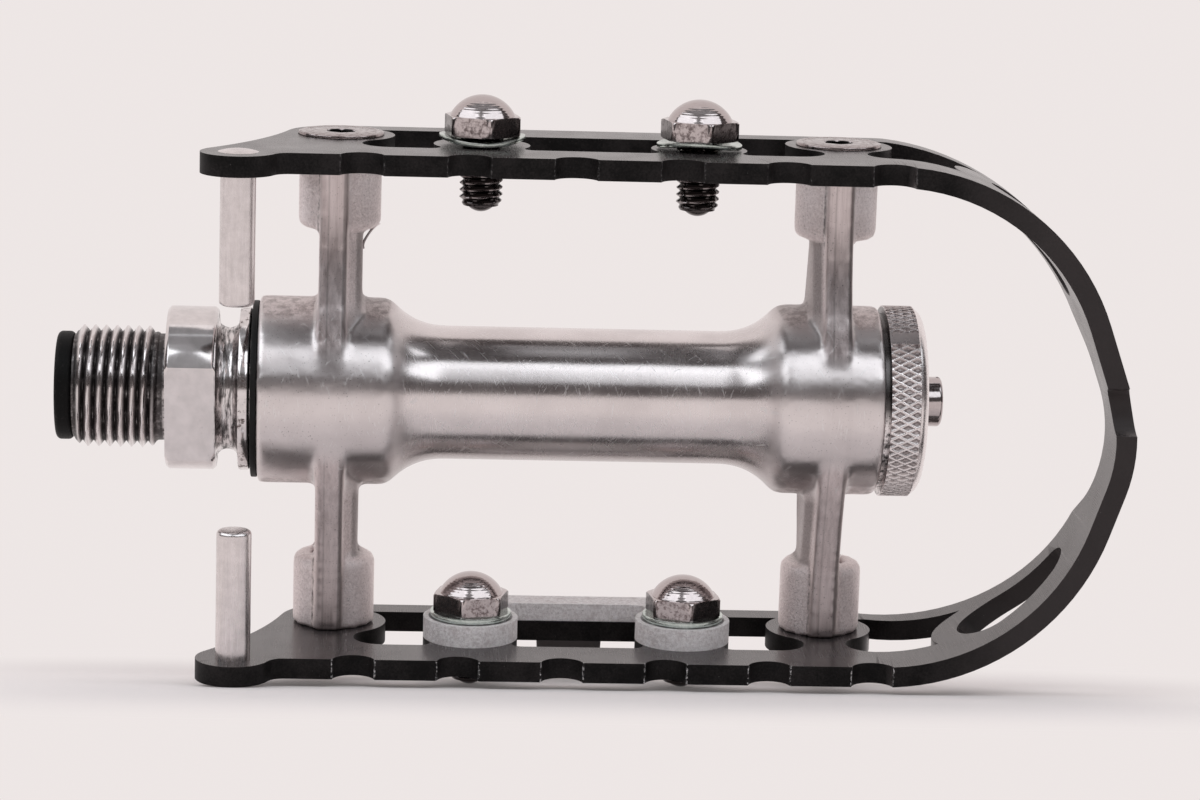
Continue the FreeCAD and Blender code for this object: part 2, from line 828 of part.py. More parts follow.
# Fasteners and fittings on the cage

def make_cage_screws():
    screw = cage_screw_solid(0)
    key = hexagon_prism(hex_key_af, hex_key_depth, Vector(0, 0, rail_z + cage_screw_proud - hex_key_depth))
    screw = screw.cut(key)
    screws = []
    for x in boss_x:
        placed = screw.copy()
        placed.translate(Vector(x, 0, 0))
        screws += [placed, mirrored(placed)]
    return group(screws)


def make_strap_pin():
    """Riveted pin of the upper rail: low head outside, rounded free end inside."""
    end = rail_inner_z - pin_len
    round_centre = (pin_r - pin_round, end + pin_round)
    head_rise = (pin_head_r ** 2 + pin_head_h ** 2) / (2 * pin_head_h)
    dome_turn = math.degrees(math.asin(pin_head_r / head_rise))
    pin = joined(in_elevation, [
        (0, end),
        circle_arc(in_elevation, round_centre, pin_round, 270, 360),
        (pin_r, rail_z),
        circle_arc(in_elevation, (0, rail_z + pin_head_h - head_rise), head_rise, 90 - dome_turn, 90),
    ]).revolve(ORIGIN, Z_AXIS, 360)
    pin.translate(Vector(ear_x, ear_y, 0))
    return pin


def make_clip_bolt(seat_z):
    """Domed hexagon bolt standing on the given height."""
    dome_sphere = (bolt_dome_r ** 2 + bolt_dome_h ** 2) / (2 * bolt_dome_h)
    dome_turn = math.degrees(math.asin(bolt_dome_r / dome_sphere))
    tip_sphere = ((bolt_tip_r ** 2 + bolt_tip_h ** 2) / (2 * bolt_tip_h))
    tip_turn = math.degrees(math.asin(bolt_tip_r / tip_sphere))
    bottom = -bolt_shank_len
    top = bolt_hex_h + bolt_dome_h
    turned_part = joined(in_elevation, [
        circle_arc(in_elevation, (0, bottom + tip_sphere), tip_sphere, 270, 270 + tip_turn),
        (bolt_r, bottom + bolt_tip_h + bolt_r - bolt_tip_r),
        (bolt_r, bolt_hex_h),
        (bolt_dome_r, bolt_hex_h),
        circle_arc(in_elevation, (0, top - dome_sphere), dome_sphere, 90 - dome_turn, 90),
    ]).revolve(ORIGIN, Z_AXIS, 360)
    hexagon = hexagon_prism(bolt_af, bolt_hex_h, ORIGIN)
    hexagon.rotate(ORIGIN, Z_AXIS, bolt_turn)
    bolt = turned_part.fuse(hexagon).removeSplitter()
    bolt.translate(Vector(0, bolt_y, seat_z))
    return bolt


def at_bolts(shape):
    copies = []
    for x in bolt_x:
        placed = shape.copy()
        placed.translate(Vector(x, 0, 0))
        copies.append(placed)
    return copies


def make_clip_bolts():
    return group(at_bolts(make_clip_bolt(top_bolt_seat_z)) + at_bolts(make_clip_bolt(bottom_bolt_seat_z)))


def make_spring_washers():
    """Bowed washers under the upper bolts, bent about an axis across the rail."""
    height = spring_washer_t + spring_washer_r
    start = Vector(0, bolt_y, rail_z)
    ring = rod(start, Z_AXIS, spring_washer_r, height).cut(rod(start, Z_AXIS, spring_washer_bore_r, height))
    axis_start = Vector(0, bolt_y - spring_washer_r, rail_z + spring_washer_bend_r)
    outer = rod(axis_start, Y_AXIS, spring_washer_bend_r, 2 * spring_washer_r)
    inner = rod(axis_start, Y_AXIS, spring_washer_bend_r - spring_washer_t, 2 * spring_washer_r)
    return group(at_bolts(ring.common(outer.cut(inner))))


def make_flat_washers():
    start = Vector(0, bolt_y, plate_top_z)
    bore_r = bolt_r + bolt_hole_gap
    ring = rod(start, Z_AXIS, flat_washer_r, flat_washer_t).cut(rod(start, Z_AXIS, bore_r, flat_washer_t))
    return group(at_bolts(ring))


def make_bridge_plate():
    """Cast plate on the lower rail: two round ends and a lower bar along the back."""
    bottom = -rail_inner_z
    front_y, back_y = plate_bar_y
    start = Vector(0, bolt_y, bottom)
    ends = at_bolts(rod(start, Z_AXIS, plate_end_r, plate_t))
    bar_len = bolt_x[1] - bolt_x[0]
    links = []
    for x, inward in zip(bolt_x, (1, -1)):
        link_w = plate_end_r - plate_corner_r
        left = x if inward > 0 else x - link_w
        links.append(Part.makeBox(link_w, back_y - bolt_y, plate_bar_t, Vector(left, bolt_y, bottom)))
    bar = Part.makeBox(bar_len, back_y - front_y, plate_bar_t, Vector(bolt_x[0], front_y, bottom))
    plate = ends[0].fuse(ends[1:] + links + [bar]).removeSplitter()
    corners = [edge for edge in plate.Edges
               if edge.BoundBox.XLength < 0.01 and edge.BoundBox.YLength < 0.01
               and edge.Vertexes[0].Y > front_y - 0.01]
    plate = plate.makeFillet(plate_corner_r, corners)
    return plate.cut(at_bolts(rod(start, Z_AXIS, bolt_r + bolt_hole_gap, plate_t)))


os.makedirs("parts", exist_ok=True)
save("spindle", make_spindle())
save("spindle_end_plug", make_end_plug())
save("outer_cone", make_outer_cone())
save("tongue_washer", make_tongue_washer())
save("lock_nut", make_lock_nut())
save("inner_balls", make_balls(inner_ball_x))
save("outer_balls", make_balls(outer_ball_x))
save("inner_cup", make_cup(inner_ball_x, 1))
save("outer_cup", make_cup(outer_ball_x, -1))
save("pedal_body", make_body())
save("inner_seal", make_seal())
save("dust_cap", make_dust_cap())
save("grease_screw", make_grease_screw())
save("cage", make_cage())
save("cage_screws", make_cage_screws())
upper_pin = make_strap_pin()
save("upper_strap_pin", upper_pin)
save("lower_strap_pin", mirrored(upper_pin))
save("clip_bolts", make_clip_bolts())
save("spring_washers", make_spring_washers())
save("flat_washers", make_flat_washers())
save("bridge_plate", make_bridge_plate())
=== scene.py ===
import json
import math
from functools import reduce

import bpy
import bmesh
from mathutils import Matrix, Vector


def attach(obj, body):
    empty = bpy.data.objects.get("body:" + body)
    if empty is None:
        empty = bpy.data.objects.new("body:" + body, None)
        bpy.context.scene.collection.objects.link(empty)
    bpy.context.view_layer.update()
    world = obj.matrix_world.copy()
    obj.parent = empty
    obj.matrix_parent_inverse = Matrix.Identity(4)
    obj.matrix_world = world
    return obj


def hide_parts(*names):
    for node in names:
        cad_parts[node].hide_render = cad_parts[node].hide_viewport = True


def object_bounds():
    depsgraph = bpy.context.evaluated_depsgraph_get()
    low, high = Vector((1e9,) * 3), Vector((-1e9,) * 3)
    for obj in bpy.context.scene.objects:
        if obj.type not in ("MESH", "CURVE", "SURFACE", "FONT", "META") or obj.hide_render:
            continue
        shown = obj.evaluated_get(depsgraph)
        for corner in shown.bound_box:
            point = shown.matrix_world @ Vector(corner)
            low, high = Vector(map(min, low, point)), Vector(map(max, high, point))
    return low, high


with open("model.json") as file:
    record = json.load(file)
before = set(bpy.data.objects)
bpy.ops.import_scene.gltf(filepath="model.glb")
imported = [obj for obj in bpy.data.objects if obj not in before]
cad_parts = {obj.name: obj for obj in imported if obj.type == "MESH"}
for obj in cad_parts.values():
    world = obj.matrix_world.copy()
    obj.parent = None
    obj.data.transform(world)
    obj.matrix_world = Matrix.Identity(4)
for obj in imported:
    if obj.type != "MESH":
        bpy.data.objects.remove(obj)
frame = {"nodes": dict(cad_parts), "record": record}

cad_low, cad_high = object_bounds()
nodes = frame["nodes"]

# The pedal is described upright, in millimetres, and then leaned about the axle as it stands
LEAN = math.radians(12.3455)
MM = 0.001
LEANED = Matrix.Rotation(LEAN, 4, "X") @ Matrix.Scale(MM, 4)
UPSIDE_DOWN = Matrix.Rotation(math.pi, 4, "X")
FULL = 2 * math.pi

# Places of pieces: x along the axle from the crank, y from front to back, z up
BOLT_X, BOLT_APART, BOLT_Y, BOLT_ZONE = 48.5, 12.5, -6.5, 20.0
LEFT_BOLT_X, RIGHT_BOLT_X = BOLT_X - BOLT_APART, BOLT_X + BOLT_APART
UPPER_BOLT_SEAT, LOWER_BOLT_SEAT = 31.5, -24.75
UPPER_SHANK_Z, LOWER_SHANK_Z, SHANK_HALF = 26.0, -30.2, 5.42
SCREW_X, SCREW_APART = 48.85, 29.05
ARM_X, ARM_APART = 48.54, 29.36
PIN_X, PIN_Y = 8.6, -17.5

# Cage: where the rails bend, the tab under the lower rail, the front edge and its scallops
RAILS_END, ARCH_START = 82.0, 84.0
TAB_TOP = -30.6
FRONT_EDGE_Y = -17.3
SCALLOP_X, SCALLOP_APART, SCALLOP_HALF = 22.4, 11.99, 2.44
SCALLOPS_MIDDLE, SCALLOPS_HALF = 52.4, 33.5

# Spindle: crank thread, wrench flange, groove, collar and shaft
SPINDLE_START, SPINDLE_END = -10.85, 87.0
THREAD_START, THREAD_END = -10.6, -0.9
THREAD_PITCH, THREAD_R, THREAD_ROOT_R, THREAD_TIP_R = 1.27, 7.144, 6.36, 6.35
NECK_R = 6.25
FLANGE_LENGTH, HALF_FLATS = 5.85, 7.5
FLANGE_CORNER = ((0.0, 9.2), (0.12, 9.36), (0.35, 9.56), (0.5, 9.58))
FLAT_TURN = math.radians(194)
GROOVE_R, GROOVE_TOP_R, GROOVE_MIDDLE = 1.2, 8.35, 7.1
COLLAR_START, COLLAR_MIDDLE, COLLAR_END = 8.42, 9.1, 9.75
COLLAR_CORNER = ((0.0, 9.35), (0.08, 9.52), (0.25, 9.6))
SEAL_R, WAIST_R, OUTER_R, NUT_THREAD_R = 7.0, 4.786, 4.2, 4.0

# Dust cap: spigot, neck, knurled rim with one plain strip, end face and hole
CAP_START, CAP_NECK_X, CAP_RIM_X, CAP_WALL_X, CAP_FACE_X = 80.6, 83.5, 84.05, 87.5, 88.6
CAP_BORE_R, CAP_SPIGOT_R, CAP_NECK_R, CAP_R, CAP_HOLE_R = 8.42, 9.42, 10.4, 11.3, 1.75
CAP_EDGE_R = 1.6
KNURL_START, KNURL_END = 84.1, 87.5
KNURL_COUNT, KNURL_PITCH, KNURL_DEPTH = 66, 2.05, 0.3
PLAIN_STRIP_R = 11.24
PLAIN_STRIP_TURN = math.radians(128)
PLAIN_STRIP_HALF = 0.95 / CAP_R

# Clip bolts, measured from the seat of the head
BOLT_TIP, BOLT_TIP_R = -8.9, 2.055
BOLT_THREAD_START, BOLT_THREAD_END = -8.15, -0.4
BOLT_PITCH, BOLT_ROOT_R, BOLT_THREAD_DEPTH, BOLT_RUNOUT_R = 0.8, 2.02, 0.48, 2.05
HEXAGON, HEXAGON_TOP = 8.0, 2.25
DOME_CENTRE, DOME_R, DOME_FOOT_R = 0.433, 4.164, 3.8
DOME_LINE, DOME_LINE_STEPS = 0.006, 6
BOLT_PLACES = (
    (LEFT_BOLT_X, UPPER_BOLT_SEAT, 10),
    (RIGHT_BOLT_X, UPPER_BOLT_SEAT, 12),
    (LEFT_BOLT_X, LOWER_BOLT_SEAT, -14),
    (RIGHT_BOLT_X, LOWER_BOLT_SEAT, 8),
)

# Washers, cage screws and strap pins
WASHER_SEAT, WASHER_BORE_R, WASHER_R, WASHER_BOW = 30.52, 2.65, 4.95, 0.62
SCREW_TOP, SCREW_R, SCREW_HEAD_R, SCREW_CONE_END = 30.75, 2.5, 5.0, 27.9
SCREW_LENGTH, SOCKET, SOCKET_DEPTH = 12.0, 3.0, 1.6
PIN_FREE_END, PIN_EDGE_R, PIN_R = 12.95, 0.5, 2.0
RIVET_SEAT, RIVET_TOP, RIVET_R, RIVET_DOME_R = 30.35, 30.7, 2.28, 7.73

# Casting: hubs, ribs and bosses of the arms, grain of its softened skin, and a strand of flash
HUB_R, BOSS_LOW = 11.3, 19.6
RIB_HALF, RIB_FRONT, RIB_TAPER, RIB_LEAST = 1.68, 11.59, 0.329, 5.5
CAST_GRAIN, CAST_SOFTENING = 0.39, 6
FLASH_LOW, FLASH_HIGH, FLASH_X, FLASH_R, FLASH_STEPS = 16.95, 19.9, 22.3, 0.17, 16


# Turned shapes

def spaced(start, end, steps):
    """Evenly spaced values, both ends among them."""
    return [start + (end - start) * i / steps for i in range(steps + 1)]


def clamp(value):
    return min(1.0, max(0.0, value))


def arc(cx, cr, radius, start, end, steps):
    """Points of a profile arc, angles in degrees."""
    turns = [math.radians(degrees) for degrees in spaced(start, end, steps)]
    return [(cx + radius * math.cos(a), cr + radius * math.sin(a)) for a in turns]


def standing(points):
    """Profile points with distance and radius exchanged, for pieces that turn about Z."""
    return [(along, radius) for radius, along in points]


def triangle_wave(t):
    """0 in the grooves, 1 on the crests."""
    return 1 - abs(2 * (t % 1.0) - 1)


def hex_radius(across_flats, turn=0.0):
    """Radius of a hexagon's side at an angle."""
    def at(angle):
        step = FULL / 6
        local = (angle - turn + step / 2) % step - step / 2
        return across_flats / 2 / math.cos(local)
    return at


def ring_mesh(rows, segments, along, hollow=False):
    """Closed mesh from rows of (distance, radius or radius function) about the axis along."""
    mesh = bmesh.new()
    rings = []
    for distance, radius in rows:
        ring = []
        for j in range(segments):
            angle = FULL * j / segments
            r = radius(angle) if callable(radius) else radius
            a, b = r * math.cos(angle), r * math.sin(angle)
            point = (distance, a, b) if along == "X" else (a, b, distance)
            ring.append(mesh.verts.new(point))
        rings.append(ring)
    following = rings[1:] + rings[:1] if hollow else rings[1:]
    for low, high in zip(rings, following):
        for j in range(segments):
            k = (j + 1) % segments
            mesh.faces.new((low[j], low[k], high[k], high[j]))
    if not hollow:
        mesh.faces.new(list(reversed(rings[0])))
        mesh.faces.new(rings[-1])
    bmesh.ops.recalc_face_normals(mesh, faces=mesh.faces)
    return mesh


def add_object(name, data):
    piece = bpy.data.objects.new(name, data)
    bpy.context.scene.collection.objects.link(piece)
    return piece


def finish_mesh(name, meshes, smooth_degrees, body, slot, *replaced):
    """One object from placed meshes, smooth except at sharp edges, riding on a body."""
    data = bpy.data.meshes.new(name)
    whole = bmesh.new()
    for part, place in meshes:
        part.transform(LEANED @ place)
        scratch = bpy.data.meshes.new("scratch")
        part.to_mesh(scratch)
        part.free()
        whole.from_mesh(scratch)
        bpy.data.meshes.remove(scratch)
    whole.to_mesh(data)
    whole.free()
    for polygon in data.polygons:
        polygon.use_smooth = True
    data.set_sharp_from_angle(angle=math.radians(smooth_degrees))
    piece = add_object(name, data)
    data.materials.append(looks[slot])
    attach(piece, body)
    if replaced:
        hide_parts(*replaced)


# Materials

class Tree:
    """Node tree of one material."""

    def __init__(self, name):
        self.material = bpy.data.materials.new(name)
        self.material.use_nodes = True
        self.tree = self.material.node_tree
        self.shader = self.tree.nodes["Principled BSDF"]

    def add(self, kind, **settings):
        node = self.tree.nodes.new(kind)
        for key, value in settings.items():
            setattr(node, key, value)
        return node

    def link(self, source, target):
        self.tree.links.new(source, target)

    def feed(self, socket, value):
        if isinstance(value, bpy.types.NodeSocket):
            self.link(value, socket)
        else:
            socket.default_value = value

    def math(self, operation, *values, clamped=False):
        node = self.add("ShaderNodeMath", operation=operation, use_clamp=clamped)
        for socket, value in zip(node.inputs, values):
            self.feed(socket, value)
        return node.outputs[0]

    def vector(self, operation, *values):
        node = self.add("ShaderNodeVectorMath", operation=operation)
        for socket, value in zip(node.inputs, values):
            self.feed(socket, value)
        return node.outputs["Value" if operation == "LENGTH" else "Vector"]

    def times(self, *values):
        return reduce(lambda a, b: self.math("MULTIPLY", a, b), values)

    def most(self, *values):
        return reduce(lambda a, b: self.math("MAXIMUM", a, b), values)

    def plus(self, a, b):
        return self.math("ADD", a, b)

    def minus(self, a, b):
        return self.math("SUBTRACT", a, b)

    def without(self, mask, other):
        """The part of a mask that another leaves."""
        return self.math("SUBTRACT", mask, other, clamped=True)

    def absolute(self, value):
        return self.math("ABSOLUTE", value)

    def apart(self, a, b):
        return self.absolute(self.minus(a, b))

    def length(self, a, b):
        return self.math("SQRT", self.plus(self.times(a, a), self.times(b, b)))

    def ramp(self, value, low, high, to_low=0.0, to_high=1.0, **settings):
        node = self.add("ShaderNodeMapRange", **settings)
        self.feed(node.inputs["Value"], value)
        node.inputs["From Min"].default_value = low
        node.inputs["From Max"].default_value = high
        node.inputs["To Min"].default_value = to_low
        node.inputs["To Max"].default_value = to_high
        return node.outputs["Result"]

    def near(self, value, centre, half, soft):
        """1 where a value is within half of a centre, falling to 0 over soft."""
        return self.ramp(self.apart(value, centre), half + soft, half)

    def mixed(self, data_type, factor, a, b):
        node = self.add("ShaderNodeMix", data_type=data_type)
        self.feed(node.inputs["Factor"], factor)
        self.feed(node.inputs["A"], a)
        self.feed(node.inputs["B"], b)
        return node.outputs["Result"]

    def mix(self, factor, a, b):
        """Colour between two colours."""
        return self.mixed("RGBA", factor, a, b)

    def blend(self, factor, a, b):
        """Number between two numbers."""
        return self.mixed("FLOAT", factor, a, b)

    def stain_and_shade(self, colour, mask, amount, tone):
        """Colour with a tone laid over it where a mask is; it lays real stains and painted shade alike."""
        return self.mix(self.times(mask, amount), colour, tone)

    def set(self, **values):
        for key, value in values.items():
            self.feed(self.shader.inputs[key.replace("_", " ")], value)
        return self.material


class Nodes(Tree):
    """Material with patterns placed in the upright frame, in millimetres."""

    def __init__(self, name):
        super().__init__(name)
        place = self.add("ShaderNodeTexCoord")
        lean = self.add("ShaderNodeMapping")
        lean.inputs["Rotation"].default_value = (-LEAN, 0, 0)
        lean.inputs["Scale"].default_value = (1 / MM, 1 / MM, 1 / MM)
        self.link(place.outputs["Object"], lean.inputs["Vector"])
        self.point = lean.outputs["Vector"]

    def split(self):
        node = self.add("ShaderNodeSeparateXYZ")
        self.link(self.point, node.inputs[0])
        return node.outputs

    def normal(self):
        """Surface direction in the upright frame, as X, Y and Z."""
        place = self.add("ShaderNodeTexCoord")
        lean = self.add("ShaderNodeMapping", vector_type="NORMAL")
        lean.inputs["Rotation"].default_value = (-LEAN, 0, 0)
        self.link(place.outputs["Normal"], lean.inputs["Vector"])
        node = self.add("ShaderNodeSeparateXYZ")
        self.link(lean.outputs["Vector"], node.inputs[0])
        return node.outputs

    def mapped(self, point, **values):
        node = self.add("ShaderNodeMapping")
        for key, value in values.items():
            node.inputs[key].default_value = value
        self.link(point, node.inputs["Vector"])
        return node.outputs["Vector"]

    def texture(self, kind, point, scale, **settings):
        node = self.add(kind, **settings)
        self.link(point, node.inputs["Vector"])
        node.inputs["Scale"].default_value = scale
        return node

    def noise(self, scale, detail=4.0, roughness=0.6, stretch=None):
        point = self.mapped(self.point, Scale=stretch) if stretch else self.point
        node = self.texture("ShaderNodeTexNoise", point, scale)
        node.inputs["Detail"].default_value = detail
        node.inputs["Roughness"].default_value = roughness
        return node.outputs["Fac"]

    def pits(self, scale, size):
        """1 inside scattered round spots, 0 elsewhere."""
        node = self.texture("ShaderNodeTexVoronoi", self.point, scale)
        return self.ramp(node.outputs["Distance"], size, 0.0)

    def scratches(self, turn, scale, stretch, cut):
        """1 on sparse thin lines that run one way."""
        point = self.mapped(self.mapped(self.point, Rotation=(0, 0, turn)), Scale=stretch)
        node = self.texture("ShaderNodeTexNoise", point, scale)
        node.inputs["Detail"].default_value = 2.0
        return self.ramp(node.outputs["Fac"], cut, cut + 0.03)

    def rings(self, scale, distortion):
        """Rings about the axle."""
        node = self.texture("ShaderNodeTexWave", self.point, scale, wave_type="RINGS", rings_direction="X")
        node.inputs["Distortion"].default_value = distortion
        return node.outputs["Fac"]

    def hollows(self):
        """1 in inner corners, 0 on flat and outer surfaces."""
        node = self.add("ShaderNodeNewGeometry")
        return self.ramp(node.outputs["Pointiness"], 0.485, 0.43)

    def bump(self, height, distance, strength=1.0, under=None):
        node = self.add("ShaderNodeBump")
        node.inputs["Strength"].default_value = strength
        node.inputs["Distance"].default_value = distance * MM
        self.link(height, node.inputs["Height"])
        if under is not None:
            self.link(under, node.inputs["Normal"])
        return node.outputs["Normal"]

    def turned_sheen(self, amount):
        """Stretches reflections along the axle, as fine turning lines do."""
        tangent = self.add("ShaderNodeTangent", direction_type="RADIAL", axis="X")
        self.link(tangent.outputs["Tangent"], self.shader.inputs["Tangent"])
        self.shader.inputs["Anisotropic"].default_value = amount
        self.shader.inputs["Anisotropic Rotation"].default_value = 0.25


def grey(value, warm=0.0):
    return (value * (1 + warm), value * (1 - 0.45 * warm), value * (1 - 0.55 * warm), 1.0)


def black_anodised():
    """Brushed faces, darker edges, a paler tab and bright nicks at the corners of the scallops."""
    n = Nodes("black_anodised")
    x, y, z = n.split()
    _, ny, nz = n.normal()
    rail_edge = n.ramp(n.absolute(nz), 0.75, 0.35)
    arch_edge = n.ramp(n.absolute(ny), 0.35, 0.75)
    edge = n.blend(n.ramp(x, RAILS_END, ARCH_START), rail_edge, arch_edge)
    coarse = n.noise(1.0, 3.0, 0.55, (3.6, 0.12, 3.6))
    fine = n.noise(1.0, 3.0, 0.6, (11.0, 0.2, 11.0))
    brushed = n.blend(0.6, coarse, fine)
    cloudy = n.noise(0.22, 4.0)
    speckle = n.noise(4.5, 5.0, 0.7)
    dust = n.times(n.pits(1.3, 0.07), n.ramp(n.noise(0.5, 2.0), 0.5, 0.62))
    face = n.mix(n.ramp(brushed, 0.34, 0.66), grey(0.03, 0.11), grey(0.1, 0.11))
    tone = n.times(n.plus(cloudy, speckle), 0.5)
    rim = n.mix(n.ramp(tone, 0.42, 0.6), grey(0.003, 0.12), grey(0.018, 0.12))
    rim = n.mix(n.ramp(x, 88.0, 100.0, 0.0, 0.75), rim, grey(0.045, 0.12))
    colour = n.mix(edge, face, rim)
    colour = n.mix(n.ramp(z, TAB_TOP, TAB_TOP - 0.2), colour, grey(0.13, 0.06))
    corner = n.math("PINGPONG", n.minus(x, SCALLOP_X), SCALLOP_APART / 2)
    nick = n.times(
        n.near(corner, SCALLOP_HALF, 0.05, 0.08),
        n.ramp(y, FRONT_EDGE_Y, FRONT_EDGE_Y - 0.15),
        n.near(x, SCALLOPS_MIDDLE, SCALLOPS_HALF, 0.2),
        n.ramp(n.noise(2.6, 3.0, 0.7), 0.5, 0.6),
        n.ramp(z, 10.0, -10.0, 0.15, 1.0),
    )
    colour = n.mix(n.most(nick, n.times(dust, 0.3)), colour, grey(0.6, 0.03))
    rough = n.plus(n.ramp(brushed, 0.3, 0.7, 0.21, 0.29), n.ramp(cloudy, 0.3, 0.7, -0.03, 0.04))
    return n.set(Base_Color=colour, Metallic=n.blend(edge, 0.45, 0.1), Roughness=n.blend(edge, rough, 0.5),
                 Specular_IOR_Level=n.blend(edge, 0.6, 0.14), Normal=n.bump(brushed, 0.016, 0.5))


def cast_aluminium():
    """Turned barrel and hubs, streaked ribs, sandy arms, dark pits and scratches, and painted shade under the
    barrel, beside the ribs, in the arms' recesses and in inner corners.
    """
    n = Nodes("cast_aluminium")
    x, y, z = n.split()
    nz = n.normal()["Z"]
    high, deep, radius = n.absolute(z), n.absolute(y), n.length(y, z)
    rib_x = n.minus(n.apart(x, ARM_X), ARM_APART)
    across = n.times(n.math("SIGN", n.minus(x, ARM_X)), rib_x)
    turning = n.noise(1.0, 3.0, 0.6, (5.0, 0.08, 0.08))
    cloudy = n.noise(0.14, 5.0)
    grain = n.noise(3.4, 6.0, 0.72)
    mottle = n.noise(0.9, 5.0, 0.7)
    streaks = n.noise(1.0, 4.0, 0.65, (1.6, 1.6, 0.1))

    # Where each finish lies
    rib_front = n.most(n.minus(RIB_FRONT, n.times(high, RIB_TAPER)), RIB_LEAST)
    arms = n.ramp(high, 9.8, 11.6)
    sandy = n.times(n.ramp(n.minus(rib_front, deep), 0.3, 0.9), arms)
    hubs = n.ramp(radius, 9.0, 10.2)
    tops = n.times(hubs, n.ramp(radius, HUB_R + 0.2, HUB_R), n.ramp(n.absolute(nz), 0.83, 0.89))
    dull_part = n.most(sandy, n.times(tops, 0.75))
    ribs = n.times(n.near(rib_x, 0.0, RIB_HALF, 0.1), n.ramp(radius, 11.15, 11.7), n.without(1.0, sandy))
    inner_right = n.times(n.ramp(x, 76.2, 75.9), n.ramp(x, 60.0, 61.0))
    inner_left = n.times(n.ramp(x, 21.7, 22.0), n.ramp(x, 38.0, 37.0))
    pocket_shade = n.times(n.most(inner_right, inner_left), arms, n.ramp(high, BOSS_LOW, BOSS_LOW - 0.4))
    # Downward-facing surfaces along the barrel, for painted shade
    under = n.times(n.ramp(nz, -0.5, -0.72, 0.0, 0.45), n.near(x, 48.5, 26.0, 3.0))

    # Pits, painted shade along the step at each rib's edge, and scratches
    pits = n.times(n.pits(1.25, 0.14), n.ramp(n.noise(0.3, 3.0), 0.46, 0.6))
    pores = n.times(n.pits(2.7, 0.19), n.ramp(n.noise(0.5, 3.0), 0.4, 0.55))
    rough_skin = n.most(arms, tops, n.ramp(radius, 10.4, 11.0, 0.0, 0.55))
    specks = n.times(n.pits(3.6, 0.24), n.ramp(n.noise(0.45, 4.0, 0.7), 0.47, 0.6), rough_skin)
    pits = n.times(n.most(pits, pores, specks), n.ramp(radius, 8.2, 9.4))
    # Painted shade: a patchy dark line along the left edge of each rib on the bosses, where the rib stands
    # proud of the web
    rib_step_shade = n.times(
        n.without(n.near(rib_x, 0.0, 1.85, 0.1), n.near(rib_x, 0.0, 1.62, 0.05)),
        sandy,
        n.ramp(mottle, 0.4, 0.6),
        n.ramp(across, 0.1, -0.1),
        n.ramp(high, BOSS_LOW - 1.0, BOSS_LOW),
    )
    lines = n.most(n.scratches(0.7, 1.0, (0.35, 6.0, 0.6), 0.655),
                   n.scratches(-0.5, 1.2, (0.4, 5.0, 0.7), 0.665))
    lines = n.times(lines, n.without(1.0, arms))

    # Colour
    bright = n.mix(n.ramp(cloudy, 0.35, 0.68), grey(0.66, 0.055), grey(0.77, 0.05))
    rib_tone = n.mix(n.ramp(streaks, 0.35, 0.65), grey(0.52, 0.1), grey(0.74, 0.08))
    shade = n.most(n.times(n.near(across, 1.35, 0.15, 0.2), 0.6),
                   n.times(n.near(across, -0.6, 0.04, 0.12), 0.3))
    rib_tone = n.mix(shade, rib_tone, grey(0.16, 0.12))
    bright = n.mix(ribs, bright, rib_tone)
    # Painted shade on the barrel's downward-facing underside
    bright = n.mix(under, bright, grey(0.16, 0.1))
    dull = n.mix(n.ramp(grain, 0.35, 0.65), grey(0.66, 0.09), grey(0.92, 0.06))
    colour = n.mix(dull_part, bright, dull)
    colour = n.stain_and_shade(colour, tops, n.ramp(mottle, 0.42, 0.6, 0.1, 0.6), grey(0.24, 0.14))
    # Painted shade on the recessed webs on the arms' inner sides, beside the ribs
    colour = n.stain_and_shade(colour, pocket_shade, 0.5, grey(0.10, 0.1))
    # Painted shade in inner corners, in patches. The next line's dark mix holds real dirt in the pits
    # together with this painted shade and the painted shade along the rib steps.
    corners = n.times(n.hollows(), n.ramp(mottle, 0.4, 0.6, 0.35, 0.9))
    dirt = n.most(n.times(pits, 0.85), n.times(rib_step_shade, 0.8), corners)
    colour = n.mix(dirt, colour, grey(0.05, 0.2))
    colour = n.stain_and_shade(colour, lines, 0.4, grey(0.92, 0.01))

    # Gloss and relief
    polished = n.plus(n.ramp(turning, 0.3, 0.7, 0.23, 0.26), n.ramp(cloudy, 0.3, 0.7, -0.03, 0.05))
    polished = n.plus(polished, n.times(hubs, 0.08))
    polished = n.blend(ribs, polished, n.ramp(streaks, 0.3, 0.7, 0.36, 0.48))
    rough = n.plus(n.blend(dull_part, polished, 0.55), n.times(lines, 0.15))
    relief = n.bump(turning, 0.003, 0.2)
    relief = n.bump(mottle, 0.03, 0.25, relief)
    uneven = n.times(n.noise(0.3, 2.0, 0.5), hubs, n.without(1.0, arms))
    relief = n.bump(uneven, 0.14, 0.5, relief)
    relief = n.bump(n.times(grain, dull_part), 0.16, 0.8, relief)
    n.turned_sheen(0.7)
    return n.set(Base_Color=colour, Metallic=1.0, Roughness=rough, Normal=relief)


